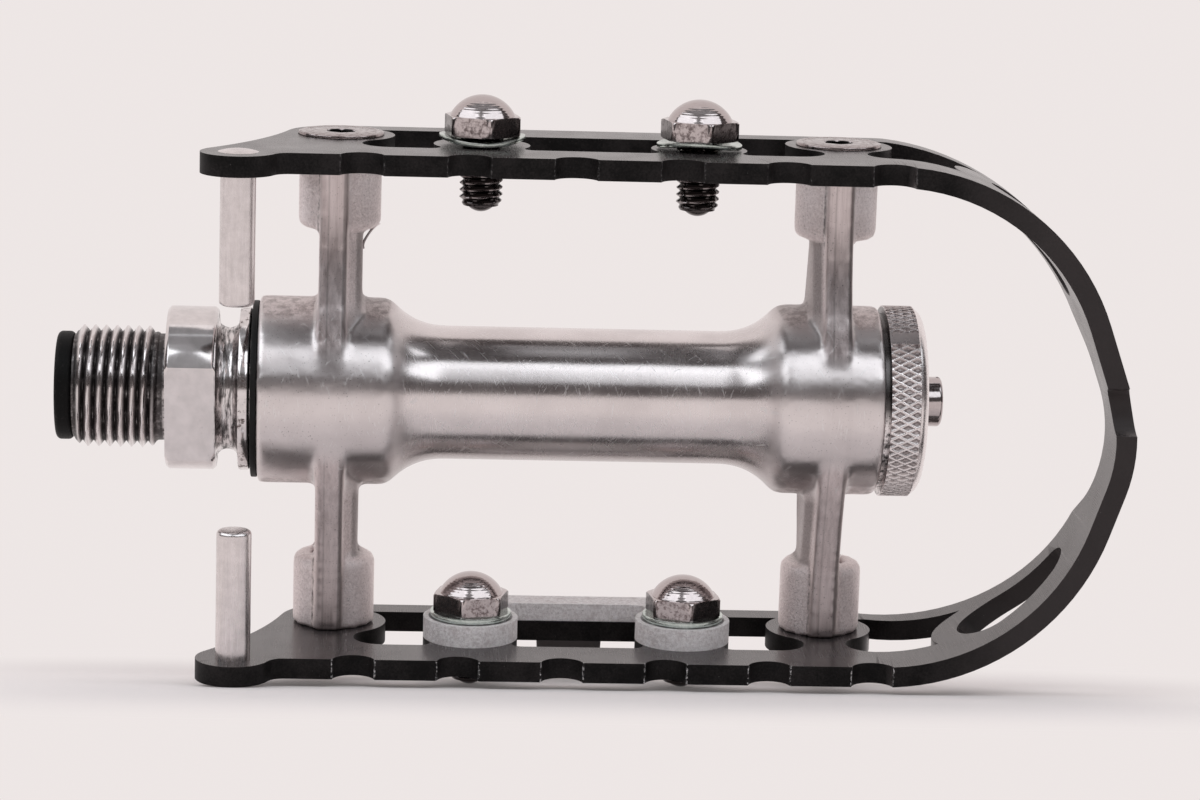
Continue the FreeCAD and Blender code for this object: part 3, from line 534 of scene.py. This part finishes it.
def spindle_steel():
    """Bright steel with dirt in the thread and the groove, and rust on the collar."""
    n = Nodes("spindle_steel")
    x, y, z = n.split()
    radius = n.length(y, z)
    grime = n.noise(1.2, 6.0, 0.75)
    streaks = n.noise(1.0, 4.0, 0.7, (2.6, 0.5, 0.5))
    fine = n.noise(1.0, 3.0, 0.6, (6.0, 0.1, 0.1))
    valley = n.times(n.ramp(radius, 6.96, 6.62), n.ramp(x, -0.1, -0.4), n.ramp(grime, 0.25, 0.5, 0.55, 1.0))
    groove = n.times(n.near(x, GROOVE_MIDDLE, 1.3, 0.15), n.ramp(radius, 9.3, 8.6),
                     n.ramp(streaks, 0.42, 0.62))
    seat = n.times(n.near(x, -0.45, 0.45, 0.1), n.ramp(grime, 0.42, 0.6), n.ramp(radius, 7.6, 6.6))
    dirty = n.most(valley, groove, seat)
    spots = n.times(n.pits(1.9, 0.16), n.ramp(n.noise(0.6, 3.0), 0.5, 0.6))
    rust = n.times(n.ramp(n.noise(0.9, 5.0, 0.7), 0.55, 0.62), n.near(x, COLLAR_MIDDLE, 0.75, 0.1), 0.85)
    colour = n.mix(n.ramp(n.noise(0.5, 3.0), 0.35, 0.65), grey(0.66, 0.04), grey(0.76, 0.04))
    colour = n.stain_and_shade(colour, dirty, 0.93, grey(0.025, 0.15))
    colour = n.stain_and_shade(colour, spots, 0.6, grey(0.10, 0.3))
    colour = n.mix(rust, colour, (0.06, 0.028, 0.018, 1))
    rough = n.plus(n.ramp(fine, 0.3, 0.7, 0.09, 0.16), n.times(dirty, 0.3))
    rough = n.plus(rough, n.times(rust, 0.4))
    return n.set(Base_Color=colour, Metallic=1.0, Roughness=rough, Normal=n.bump(fine, 0.003, 0.4))


def plated_steel():
    """Polished domes, browned hexagons and screw heads, dark threads, and painted shade in the screw sockets
    and on the hexagons' sideways facets.
    """
    n = Nodes("plated_steel")
    x, y, z = n.split()
    nx, _, nz = n.normal()
    radius = n.length(n.minus(n.apart(x, BOLT_X), BOLT_APART), n.minus(y, BOLT_Y))
    bolts = n.near(x, BOLT_X, BOLT_ZONE, 0.5)
    below = n.most(n.near(z, UPPER_SHANK_Z, SHANK_HALF, 0.05),
                   n.near(z, LOWER_SHANK_Z, SHANK_HALF, 0.05))
    shank = n.times(bolts, n.ramp(radius, 2.7, 2.6), below)
    thread_dirt = n.times(shank, n.ramp(radius, 2.5, 2.3, 0.55, 1.0))
    worn = n.ramp(n.noise(1.5, 6.0, 0.75), 0.47, 0.6)
    upright = n.ramp(n.absolute(nz), 0.35, 0.2)
    facets = n.times(upright, bolts, n.ramp(radius, 3.7, 3.85))
    freckles = n.times(n.pits(2.8, 0.18), n.ramp(n.noise(0.9, 3.0), 0.42, 0.58))
    heads = n.times(n.without(1.0, bolts), n.ramp(n.absolute(z), 27.0, 28.0))
    screw_x = n.minus(n.apart(x, SCREW_X), SCREW_APART)
    socket = n.times(n.ramp(n.length(screw_x, y), 1.75, 1.65), heads)
    brown_heads = n.times(heads, n.ramp(worn, 0.0, 1.0, 0.55, 1.0))
    brown = n.most(n.times(facets, n.most(worn, freckles)), brown_heads)
    # Painted shade: hexagon facets that face sideways are darkened
    side_facet_shade = n.times(facets, n.ramp(n.absolute(nx), 0.42, 0.55, 0.0, 0.8))
    colour = n.stain_and_shade(grey(0.5, 0.08), worn, 0.2, grey(0.36, 0.12))
    colour = n.stain_and_shade(colour, brown, 0.72, grey(0.10, 0.28))
    colour = n.mix(side_facet_shade, colour, grey(0.03, 0.15))
    colour = n.stain_and_shade(colour, thread_dirt, 0.92, grey(0.03, 0.12))
    # Painted shade in the hexagon sockets of the cage screws
    colour = n.mix(socket, colour, grey(0.012, 0.1))
    fine = n.noise(3.0, 4.0)
    shiny = n.ramp(fine, 0.3, 0.7, 0.09, 0.15)
    rough = n.blend(n.most(facets, heads), shiny, n.ramp(worn, 0.0, 1.0, 0.14, 0.34))
    return n.set(Base_Color=colour, Metallic=1.0, Roughness=rough, Normal=n.bump(fine, 0.006, 0.4))


def pin_steel():
    """Drawn steel of the strap pins, and the greenish zinc of the washers."""
    n = Nodes("pin_steel")
    x = n.split()["X"]
    washers = n.near(x, BOLT_X, BOLT_ZONE, 0.5)
    lines = n.noise(1.0, 3.0, 0.6, (1.8, 1.8, 0.12))
    cloudy = n.noise(0.6, 5.0, 0.7)
    specks = n.times(n.pits(2.2, 0.11), n.ramp(n.noise(0.7, 2.0), 0.5, 0.62))
    tone = n.times(n.plus(cloudy, lines), 0.5)
    colour = n.mix(n.ramp(tone, 0.38, 0.62), grey(0.62, 0.05), grey(0.80, 0.05))
    zinc = n.mix(n.ramp(cloudy, 0.4, 0.6), (0.44, 0.50, 0.46, 1), (0.66, 0.72, 0.68, 1))
    colour = n.mix(washers, colour, zinc)
    colour = n.stain_and_shade(colour, specks, 0.6, grey(0.14, 0.1))
    rough = n.blend(washers, n.ramp(lines, 0.3, 0.7, 0.2, 0.32), n.ramp(cloudy, 0.3, 0.7, 0.16, 0.28))
    return n.set(Base_Color=colour, Metallic=1.0, Roughness=rough, Normal=n.bump(lines, 0.01, 0.5))


def plate_aluminium():
    """Pale sandy casting with a dark ring round each bolt."""
    n = Nodes("plate_aluminium")
    x, y, _ = n.split()
    radius = n.length(n.minus(n.apart(x, BOLT_X), BOLT_APART), n.minus(y, BOLT_Y))
    grain = n.noise(2.6, 6.0, 0.75)
    stain_and_shade = n.noise(0.7, 4.0)
    ring = n.times(n.near(radius, 4.75, 0.12, 0.12), n.ramp(stain_and_shade, 0.3, 0.5, 0.5, 0.9))
    colour = n.mix(n.ramp(grain, 0.35, 0.6), grey(0.66, 0.06), grey(0.98, 0.03))
    colour = n.mix(n.ramp(stain_and_shade, 0.52, 0.68, 0.0, 0.5), colour, grey(0.55, 0.1))
    colour = n.mix(n.most(ring, n.times(n.pits(2.0, 0.14), 0.7)), colour, grey(0.08, 0.15))
    return n.set(Base_Color=colour, Metallic=0.1, Roughness=n.ramp(grain, 0.3, 0.7, 0.5, 0.64),
                 Normal=n.bump(grain, 0.22, 1.0))


def cap_aluminium():
    """Bright cap with dirt in the knurl, painted shade round the neck, darkest on top, and turned rings on
    the end face.
    """
    n = Nodes("cap_aluminium")
    x, y, z = n.split()
    radius = n.length(y, z)
    grime = n.noise(1.4, 5.0, 0.7)
    band = n.times(n.ramp(x, CAP_RIM_X, CAP_RIM_X + 0.15), n.ramp(x, KNURL_END + 0.1, KNURL_END - 0.1))
    valley = n.times(n.ramp(radius, CAP_R, CAP_R - 0.22), band)
    dirty = n.times(valley, n.ramp(grime, 0.3, 0.6, 0.45, 1.0))
    # Painted shade where the cap's neck sits back between the body and the rim: full over the upper half, in
    # patches below
    gap_shade = n.most(n.ramp(grime, 0.46, 0.6), n.ramp(z, -1.0, 1.0))
    neck = n.times(n.near(x, CAP_NECK_X + 0.25, 0.3, 0.05), gap_shade)
    colour = n.mix(n.ramp(grime, 0.35, 0.65), grey(0.78, 0.05), grey(0.9, 0.04))
    colour = n.stain_and_shade(colour, dirty, 0.7, grey(0.11, 0.24))
    # Painted shade on the neck
    colour = n.stain_and_shade(colour, neck, 0.9, grey(0.02, 0.1))
    colour = n.stain_and_shade(colour, band, n.ramp(z, 4.5, 8.5, 0.0, 0.5), grey(0.2, 0.2))
    rough = n.plus(n.ramp(grime, 0.3, 0.7, 0.22, 0.32), n.times(dirty, 0.15))
    turned = n.times(n.rings(0.55, 1.5), n.ramp(x, CAP_FACE_X - 0.4, CAP_FACE_X - 0.1))
    relief = n.bump(n.times(grime, n.ramp(x, CAP_FACE_X - 0.3, CAP_FACE_X - 0.6)), 0.02, 0.3)
    relief = n.bump(turned, 0.012, 0.6, relief)
    return n.set(Base_Color=colour, Metallic=1.0, Roughness=rough, Normal=relief)


def bearing_steel():
    n = Nodes("bearing_steel")
    fine = n.noise(1.0, 3.0, 0.6, (6.0, 0.4, 0.4))
    colour = n.mix(n.ramp(fine, 0.35, 0.65), grey(0.5, 0.01), grey(0.6, 0.01))
    return n.set(Base_Color=colour, Metallic=1.0, Roughness=n.ramp(fine, 0.3, 0.7, 0.16, 0.28))


def black_plastic():
    n = Nodes("black_plastic")
    grain = n.noise(4.0, 4.0)
    dust = n.ramp(n.noise(1.5, 6.0, 0.75), 0.58, 0.7)
    colour = n.stain_and_shade(grey(0.004, 0.05), dust, 0.2, grey(0.12, 0.1))
    return n.set(Base_Color=colour, Metallic=0.0, Roughness=n.ramp(grain, 0.3, 0.7, 0.46, 0.6),
                 Specular_IOR_Level=0.12, Normal=n.bump(grain, 0.02, 0.5))


def seal_rubber():
    n = Nodes("seal_rubber")
    grain = n.noise(5.0, 4.0)
    colour = n.mix(n.ramp(grain, 0.3, 0.7), grey(0.004), grey(0.012))
    return n.set(Base_Color=colour, Metallic=0.0, Roughness=0.55, Specular_IOR_Level=0.2,
                 Normal=n.bump(grain, 0.03, 0.6))


looks = {
    "spindle_steel": spindle_steel(),
    "black_plastic": black_plastic(),
    "bearing_steel": bearing_steel(),
    "cast_aluminium": cast_aluminium(),
    "seal_rubber": seal_rubber(),
    "cap_aluminium": cap_aluminium(),
    "plated_steel": plated_steel(),
    "black_anodised": black_anodised(),
    "pin_steel": pin_steel(),
    "plate_aluminium": plate_aluminium(),
}
for entry in frame["record"]["subparts"]:
    data = nodes[entry["node"]].data
    data.materials.clear()
    data.materials.append(looks[entry["material_slot"]])


# Spindle: helical crank thread, wrench flange with two flats, groove, collar and shaft

def spindle_thread_radius(x):
    """Crest and root of a right-hand thread, chamfered at the start and run out at the end."""
    def at(angle):
        wave = triangle_wave(x / THREAD_PITCH + angle / FULL)
        r = THREAD_ROOT_R + (THREAD_R - THREAD_ROOT_R) * min(1.0, wave * 1.12)
        r = min(r, THREAD_TIP_R + (x - THREAD_START) * 1.1)
        return NECK_R + (r - NECK_R) * clamp((THREAD_END - x) / 0.9)
    return at


def flatted(radius):
    """Flange radius cut back by the two wrench flats."""
    def at(angle):
        lean = abs(math.cos(angle - FLAT_TURN))
        return min(radius, HALF_FLATS / lean) if lean > 0.01 else radius
    return at


def make_spindle():
    rows = [(SPINDLE_START, 3.0), (SPINDLE_START, 6.05), (SPINDLE_START + 0.3, 6.1)]
    rows += [(x, spindle_thread_radius(x)) for x in spaced(THREAD_START, THREAD_END, 92)]
    rows += [(THREAD_END + 0.05, NECK_R), (0.0, NECK_R)]
    rows += [(inset, flatted(r)) for inset, r in FLANGE_CORNER]
    rows += [(FLANGE_LENGTH - inset, flatted(r)) for inset, r in reversed(FLANGE_CORNER)]
    rows += [(FLANGE_LENGTH, GROOVE_TOP_R)]
    rows += arc(FLANGE_LENGTH + GROOVE_R, GROOVE_TOP_R, GROOVE_R, 180, 270, 9)
    rows += arc(COLLAR_START - GROOVE_R, GROOVE_TOP_R, GROOVE_R, 270, 360, 9)
    rows += [(COLLAR_START + inset, r) for inset, r in COLLAR_CORNER]
    rows += [(COLLAR_END - inset, r) for inset, r in reversed(COLLAR_CORNER)]
    rows += [(COLLAR_END, SEAL_R), (12.186, SEAL_R)]
    rows += arc(14.2, 6.8, 2.014, 180, 270, 8)
    rows += [(30.0, WAIST_R), (70.0, OUTER_R), (73.0, OUTER_R), (73.0, NUT_THREAD_R)]
    rows += [(SPINDLE_END - 0.4, NUT_THREAD_R), (SPINDLE_END, NUT_THREAD_R - 0.4)]
    spindle = ring_mesh(rows, 192, "X")
    finish_mesh("spindle_turned", [(spindle, Matrix())], 32, "spindle", "spindle_steel", "spindle")


make_spindle()


# Dust cap with a diamond knurled rim and one plain strip

def knurl_radius(x):
    edge = max(0.0, min(1.0, (x - KNURL_START) / 0.15 + 0.2, (KNURL_END - x) / 0.15 + 0.2))

    def at(angle):
        off = abs((angle - PLAIN_STRIP_TURN + math.pi) % FULL - math.pi)
        if off < PLAIN_STRIP_HALF:
            return PLAIN_STRIP_R
        around = KNURL_COUNT * angle / FULL
        ridge = max(triangle_wave(around + x / KNURL_PITCH), triangle_wave(around - x / KNURL_PITCH))
        height = clamp((ridge - 0.32) / 0.5)
        return CAP_R - KNURL_DEPTH * (1 - height) * edge
    return at


def make_dust_cap():
    rows = [(CAP_START, CAP_BORE_R), (CAP_START, CAP_SPIGOT_R), (CAP_NECK_X, CAP_SPIGOT_R)]
    rows += [(CAP_NECK_X, CAP_NECK_R), (CAP_RIM_X, CAP_NECK_R), (CAP_RIM_X, CAP_R - 0.2)]
    rows += [(x, knurl_radius(x)) for x in spaced(KNURL_START, KNURL_END, 44)]
    rows += arc(CAP_FACE_X - CAP_EDGE_R, 9.6, CAP_EDGE_R, 69, 0, 12)
    rows += [(CAP_FACE_X, 6.0), (CAP_FACE_X - 0.02, 3.2), (CAP_FACE_X, CAP_HOLE_R)]
    rows += [(CAP_WALL_X, CAP_HOLE_R), (CAP_WALL_X, CAP_BORE_R)]
    cap = ring_mesh(rows, 792, "X")
    finish_mesh("dust_cap_knurled", [(cap, Matrix())], 40, "pedal_body", "cap_aluminium", "dust_cap")


make_dust_cap()


# Clip bolts: threaded shank with a rounded tip, hexagon and polished dome

def bolt_thread_radius(z):
    def at(angle):
        wave = triangle_wave(z / BOLT_PITCH - angle / FULL)
        r = BOLT_ROOT_R + BOLT_THREAD_DEPTH * min(1.0, wave * 1.15)
        fade = clamp((z - BOLT_THREAD_START) / 0.7) * clamp((BOLT_THREAD_END - z) / 0.5)
        return BOLT_RUNOUT_R + (r - BOLT_RUNOUT_R) * fade
    return at


def make_bolt(turn):
    hexagon = hex_radius(HEXAGON, turn)

    def chamfered(limit):
        return lambda angle: min(hexagon(angle), limit)

    rows = [(BOLT_TIP, 0.02)]
    rows += standing(arc(0, BOLT_TIP + BOLT_TIP_R, BOLT_TIP_R, 276, 322, 7))
    rows += [(z, bolt_thread_radius(z)) for z in spaced(BOLT_THREAD_START, BOLT_THREAD_END, 60)]
    rows += [(-0.35, 2.3), (0.0, 2.5), (0.0, chamfered(4.3)), (0.05, chamfered(4.48)), (0.2, chamfered(4.62))]
    rows += [(HEXAGON_TOP - 0.2, chamfered(4.62)), (HEXAGON_TOP - 0.05, chamfered(4.4))]
    rows += [(HEXAGON_TOP, chamfered(4.2)), (HEXAGON_TOP, DOME_FOOT_R)]
    for i, degrees in enumerate(spaced(26, 88, 72)):
        rise = math.radians(degrees)
        line = DOME_LINE * clamp((66 - degrees) / 12)
        r = DOME_R - line * (1 + math.cos(FULL * i / DOME_LINE_STEPS))
        rows.append((DOME_CENTRE + r * math.sin(rise), r * math.cos(rise)))
    return ring_mesh(rows, 120, "Z")


def make_clip_bolts():
    bolts = []
    for x, seat, turn in BOLT_PLACES:
        bolts.append((make_bolt(math.radians(turn)), Matrix.Translation((x, BOLT_Y, seat))))
    finish_mesh("clip_bolts_turned", bolts, 30, "pedal_body", "plated_steel", "clip_bolts")


make_clip_bolts()


# Spring washers: thin bowed rings under the upper bolts, the two turned differently

def make_spring_washer(turn):
    rows = [(0.0, WASHER_BORE_R), (0.0, 4.8), (0.07, 4.92), (0.25, WASHER_R), (0.43, 4.92), (0.5, 4.8)]
    rows += [(0.5, WASHER_BORE_R)]
    washer = ring_mesh(rows, 96, "Z", hollow=True)
    for vert in washer.verts:
        across = vert.co.x * math.cos(turn) + vert.co.y * math.sin(turn)
        vert.co.z += WASHER_BOW * (across / WASHER_R) ** 2
    return washer


def make_spring_washers():
    washers = []
    for x, turn in ((LEFT_BOLT_X, 0), (RIGHT_BOLT_X, 80)):
        place = Matrix.Translation((x, BOLT_Y, WASHER_SEAT))
        washers.append((make_spring_washer(math.radians(turn)), place))
    finish_mesh("spring_washers_bowed", washers, 35, "pedal_body", "pin_steel", "spring_washers")


make_spring_washers()


# Cage screws: countersunk heads with a hexagon socket

def make_cage_screw():
    socket = hex_radius(SOCKET)
    top = SCREW_TOP
    rows = [(top - SOCKET_DEPTH, 0.05), (top - SOCKET_DEPTH, socket), (top - 0.18, socket)]
    rows += [(top - 0.02, lambda angle: socket(angle) + 0.14), (top, 2.2), (top, 3.9), (top - 0.06, 4.1)]
    rows += [(top, 4.3), (top, 4.75), (top - 0.08, 4.93), (top - 0.25, SCREW_HEAD_R)]
    rows += [(top - 0.35, SCREW_HEAD_R), (SCREW_CONE_END, SCREW_R), (top - SCREW_LENGTH + 0.2, SCREW_R)]
    rows += [(top - SCREW_LENGTH, SCREW_R - 0.2), (top - SCREW_LENGTH, 0.05)]
    return ring_mesh(rows, 96, "Z")


def make_cage_screws():
    screws = []
    for x in (SCREW_X - SCREW_APART, SCREW_X + SCREW_APART):
        place = Matrix.Translation((x, 0, 0))
        screws.append((make_cage_screw(), place))
        screws.append((make_cage_screw(), place @ UPSIDE_DOWN))
    finish_mesh("cage_screws_turned", screws, 30, "pedal_body", "plated_steel", "cage_screws")


make_cage_screws()


# Strap pins: riveted heads outside the rails, rounded free ends inside

def make_strap_pin(name, node, turn):
    rows = [(PIN_FREE_END, 0.05)]
    rows += standing(arc(PIN_R - PIN_EDGE_R, PIN_FREE_END + PIN_EDGE_R, PIN_EDGE_R, 270, 360, 6))
    rows += [(27.95, PIN_R), (RIVET_SEAT, PIN_R), (RIVET_SEAT, RIVET_R)]
    rows += standing(arc(0, RIVET_TOP - RIVET_DOME_R, RIVET_DOME_R, 72.8, 89.5, 8))
    place = Matrix.Translation((PIN_X, PIN_Y, 0)) @ turn
    finish_mesh(name, [(ring_mesh(rows, 64, "Z"), place)], 30, "pedal_body", "pin_steel", node)


make_strap_pin("upper_strap_pin_turned", "upper_strap_pin", Matrix())
make_strap_pin("lower_strap_pin_turned", "lower_strap_pin", UPSIDE_DOWN)


# Cast body: the casting's edges and inner corners are softened

def make_body():
    piece = add_object("pedal_body_cast", nodes["pedal_body"].data.copy())
    remesh = piece.modifiers.new("grain", "REMESH")
    remesh.mode = "VOXEL"
    remesh.voxel_size = CAST_GRAIN * MM
    remesh.use_smooth_shade = True
    soften = piece.modifiers.new("soften", "SMOOTH")
    soften.factor = 0.5
    soften.iterations = CAST_SOFTENING
    shape = bpy.data.meshes.new_from_object(piece.evaluated_get(bpy.context.evaluated_depsgraph_get()))
    piece.modifiers.clear()
    piece.data = shape
    shape.materials.clear()
    shape.materials.append(looks["cast_aluminium"])
    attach(piece, "pedal_body")
    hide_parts("pedal_body")


make_body()


# Casting flash: a thin strand from the edge of the upper inboard boss down to its arm

def make_flash():
    rows = []
    for i, z in enumerate(spaced(FLASH_LOW, FLASH_HIGH, FLASH_STEPS)):
        to_end = abs(2 * i / FLASH_STEPS - 1)
        rows.append((z, FLASH_R + 0.3 * to_end ** 4))
    strand = ring_mesh(rows, 12, "Z")
    for vert in strand.verts:
        rise = vert.co.z - FLASH_LOW
        vert.co.x += FLASH_X + 0.36 * rise + 0.085 * rise ** 2
    finish_mesh("boss_flash", [(strand, Matrix())], 40, "pedal_body", "cast_aluminium")


make_flash()


# Fine bevels on the pieces whose solids are shown as they are

BEVELS = {
    "cage": 0.14,
    "spindle_end_plug": 0.1,
    "inner_seal": 0.12,
    "grease_screw": 0.12,
    "bridge_plate": 0.3,
    "flat_washers": 0.12,
}
WELD_REACH = 0.04
SHARP_ANGLE = math.radians(40)

for name, width in BEVELS.items():
    weld = nodes[name].modifiers.new("joined", "WELD")
    weld.merge_threshold = WELD_REACH * MM
    bevel = nodes[name].modifiers.new("edges", "BEVEL")
    bevel.width = width * MM
    bevel.segments = 2
    bevel.limit_method = "ANGLE"
    bevel.angle_limit = SHARP_ANGLE
    even = nodes[name].modifiers.new("even_shading", "WEIGHTED_NORMAL")
    even.keep_sharp = True
    even.weight = 90


# Floor, backdrop and light, in metres

BACKDROP = (0.85, 0.795, 0.785, 1)
PAPER = (0.93, 0.87, 0.86, 1)
CLOTH = (0.16, 0.15, 0.15, 1)
LAMP = (0.91, 0.96, 1.0)
FLOOR_REACH, TABLE_EDGE = 3.0, -0.65
PAPER_SHARE, FADE_REACH, FADE_START = 0.4, 0.045, 0.05
MIDDLE = Vector((0.05, 0, 0))


def pale_world():
    world = bpy.data.worlds.new("studio")
    bpy.context.scene.world = world
    world.use_nodes = True
    backdrop = world.node_tree.nodes["Background"]
    backdrop.inputs["Color"].default_value = BACKDROP
    backdrop.inputs["Strength"].default_value = 1.0


def stage_mesh(name, corners, faces, material, in_view):
    data = bpy.data.meshes.new(name)
    data.from_pydata(corners, [], faces)
    data.materials.append(material)
    piece = add_object(name, data)
    piece.visible_camera = in_view


def floor_paper(centre, half_size):
    """Pale paper that runs out into the backdrop's colour away from the pedal."""
    n = Tree("floor_paper")
    n.set(Base_Color=PAPER, Roughness=0.8, Specular_IOR_Level=0.2)
    place = n.add("ShaderNodeNewGeometry").outputs["Position"]
    outside = n.vector("SUBTRACT", n.vector("ABSOLUTE", n.vector("SUBTRACT", place, centre)), half_size)
    away = n.vector("LENGTH", n.vector("MAXIMUM", outside, (0, 0, 0)))
    fade = n.ramp(away, 0.0, FADE_REACH, FADE_START, interpolation_type="SMOOTHSTEP")
    rays = n.add("ShaderNodeLightPath").outputs
    seen = n.most(rays["Is Camera Ray"], rays["Is Glossy Ray"], rays["Is Transmission Ray"])
    backdrop = n.add("ShaderNodeEmission")
    backdrop.inputs["Color"].default_value = BACKDROP
    mixed = n.add("ShaderNodeMixShader")
    n.link(n.times(fade, seen), mixed.inputs["Fac"])
    n.link(n.shader.outputs[0], mixed.inputs[1])
    n.link(backdrop.outputs[0], mixed.inputs[2])
    n.link(mixed.outputs[0], n.tree.nodes["Material Output"].inputs["Surface"])
    return n.material


def make_floor():
    z = cad_low.z
    corners = [(-FLOOR_REACH, TABLE_EDGE, z), (FLOOR_REACH, TABLE_EDGE, z), (FLOOR_REACH, FLOOR_REACH, z),
               (-FLOOR_REACH, FLOOR_REACH, z)]
    paper = floor_paper((cad_low + cad_high) / 2, (cad_high - cad_low) * PAPER_SHARE)
    stage_mesh("floor", corners, [(0, 1, 2, 3)], paper, True)


def make_dark_room(radius, half_width, bottom, top):
    """Dark cloth round the camera's side, from near the floor to overhead; only reflections show it."""
    columns, rows = 24, 12
    corners, faces = [], []
    for turn in map(math.radians, spaced(-half_width, half_width, columns)):
        for rise in map(math.radians, spaced(bottom, top, rows)):
            corners.append((MIDDLE.x + radius * math.cos(rise) * math.sin(turn),
                            -radius * math.cos(rise) * math.cos(turn), radius * math.sin(rise)))
    for i in range(columns):
        for j in range(rows):
            a = i * (rows + 1) + j
            faces.append((a, a + 1, a + rows + 2, a + rows + 1))
    stage_mesh("dark_room", corners, faces, Tree("dark_cloth").set(Base_Color=CLOTH, Roughness=0.9), False)


def softbox(name, azimuth, elevation, distance, size, power):
    """Area light aimed at the pedal; azimuth 0 is the camera's side."""
    a, e = math.radians(azimuth), math.radians(elevation)
    back = Vector((math.sin(a) * math.cos(e), -math.cos(a) * math.cos(e), math.sin(e)))
    data = bpy.data.lights.new(name, "AREA")
    data.shape = "RECTANGLE"
    data.size, data.size_y = size
    data.energy = power
    data.color = LAMP
    lamp = add_object(name, data)
    lamp.location = MIDDLE + back * distance
    lamp.rotation_mode = "QUATERNION"
    lamp.rotation_quaternion = (-back).to_track_quat("-Z", "Y")


pale_world()
make_floor()
make_dark_room(1.5, 108, -14.0, 88)
softbox("left_box", -60, 39, 0.85, (1.0, 0.6), 3.2)
softbox("right_box", 41, 39, 0.85, (1.0, 0.6), 3.0)
softbox("centre_box", -10, 39, 0.95, (0.5, 0.67), 0.28)
softbox("ceiling", 0, 78, 1.15, (1.7, 0.8), 0.9)
softbox("ceiling_strip", 0, 77, 1.05, (1.4, 0.06), 0.1)


# Camera, from the photograph's viewing angle; its rows point right, down and forward

CAMERA_ROWS = ((0.99803, -0.05482, 0.03066), (0.01929, -0.19714, -0.98019), (0.05978, 0.97884, -0.19569))
CAMERA_PLACE = (24.53, -431.15, 85.6)
FOCAL_PIXELS = 3723.3
IMAGE_WIDTH = 1200
SENSOR_WIDTH = 36.0


def make_camera():
    data = bpy.data.cameras.new("camera")
    data.sensor_width = SENSOR_WIDTH
    data.lens = FOCAL_PIXELS * SENSOR_WIDTH / IMAGE_WIDTH
    data.clip_start = 0.01
    camera = add_object("camera", data)
    right, down, forward = (Vector(row) for row in CAMERA_ROWS)
    lean = Matrix.Rotation(LEAN, 3, "X")
    pose = (lean @ Matrix((right, -down, -forward)).transposed()).to_4x4()
    pose.translation = lean @ Vector(CAMERA_PLACE) * MM
    camera.matrix_world = pose
    bpy.context.scene.camera = camera


make_camera()
bpy.context.scene.view_settings.view_transform = "Standard"
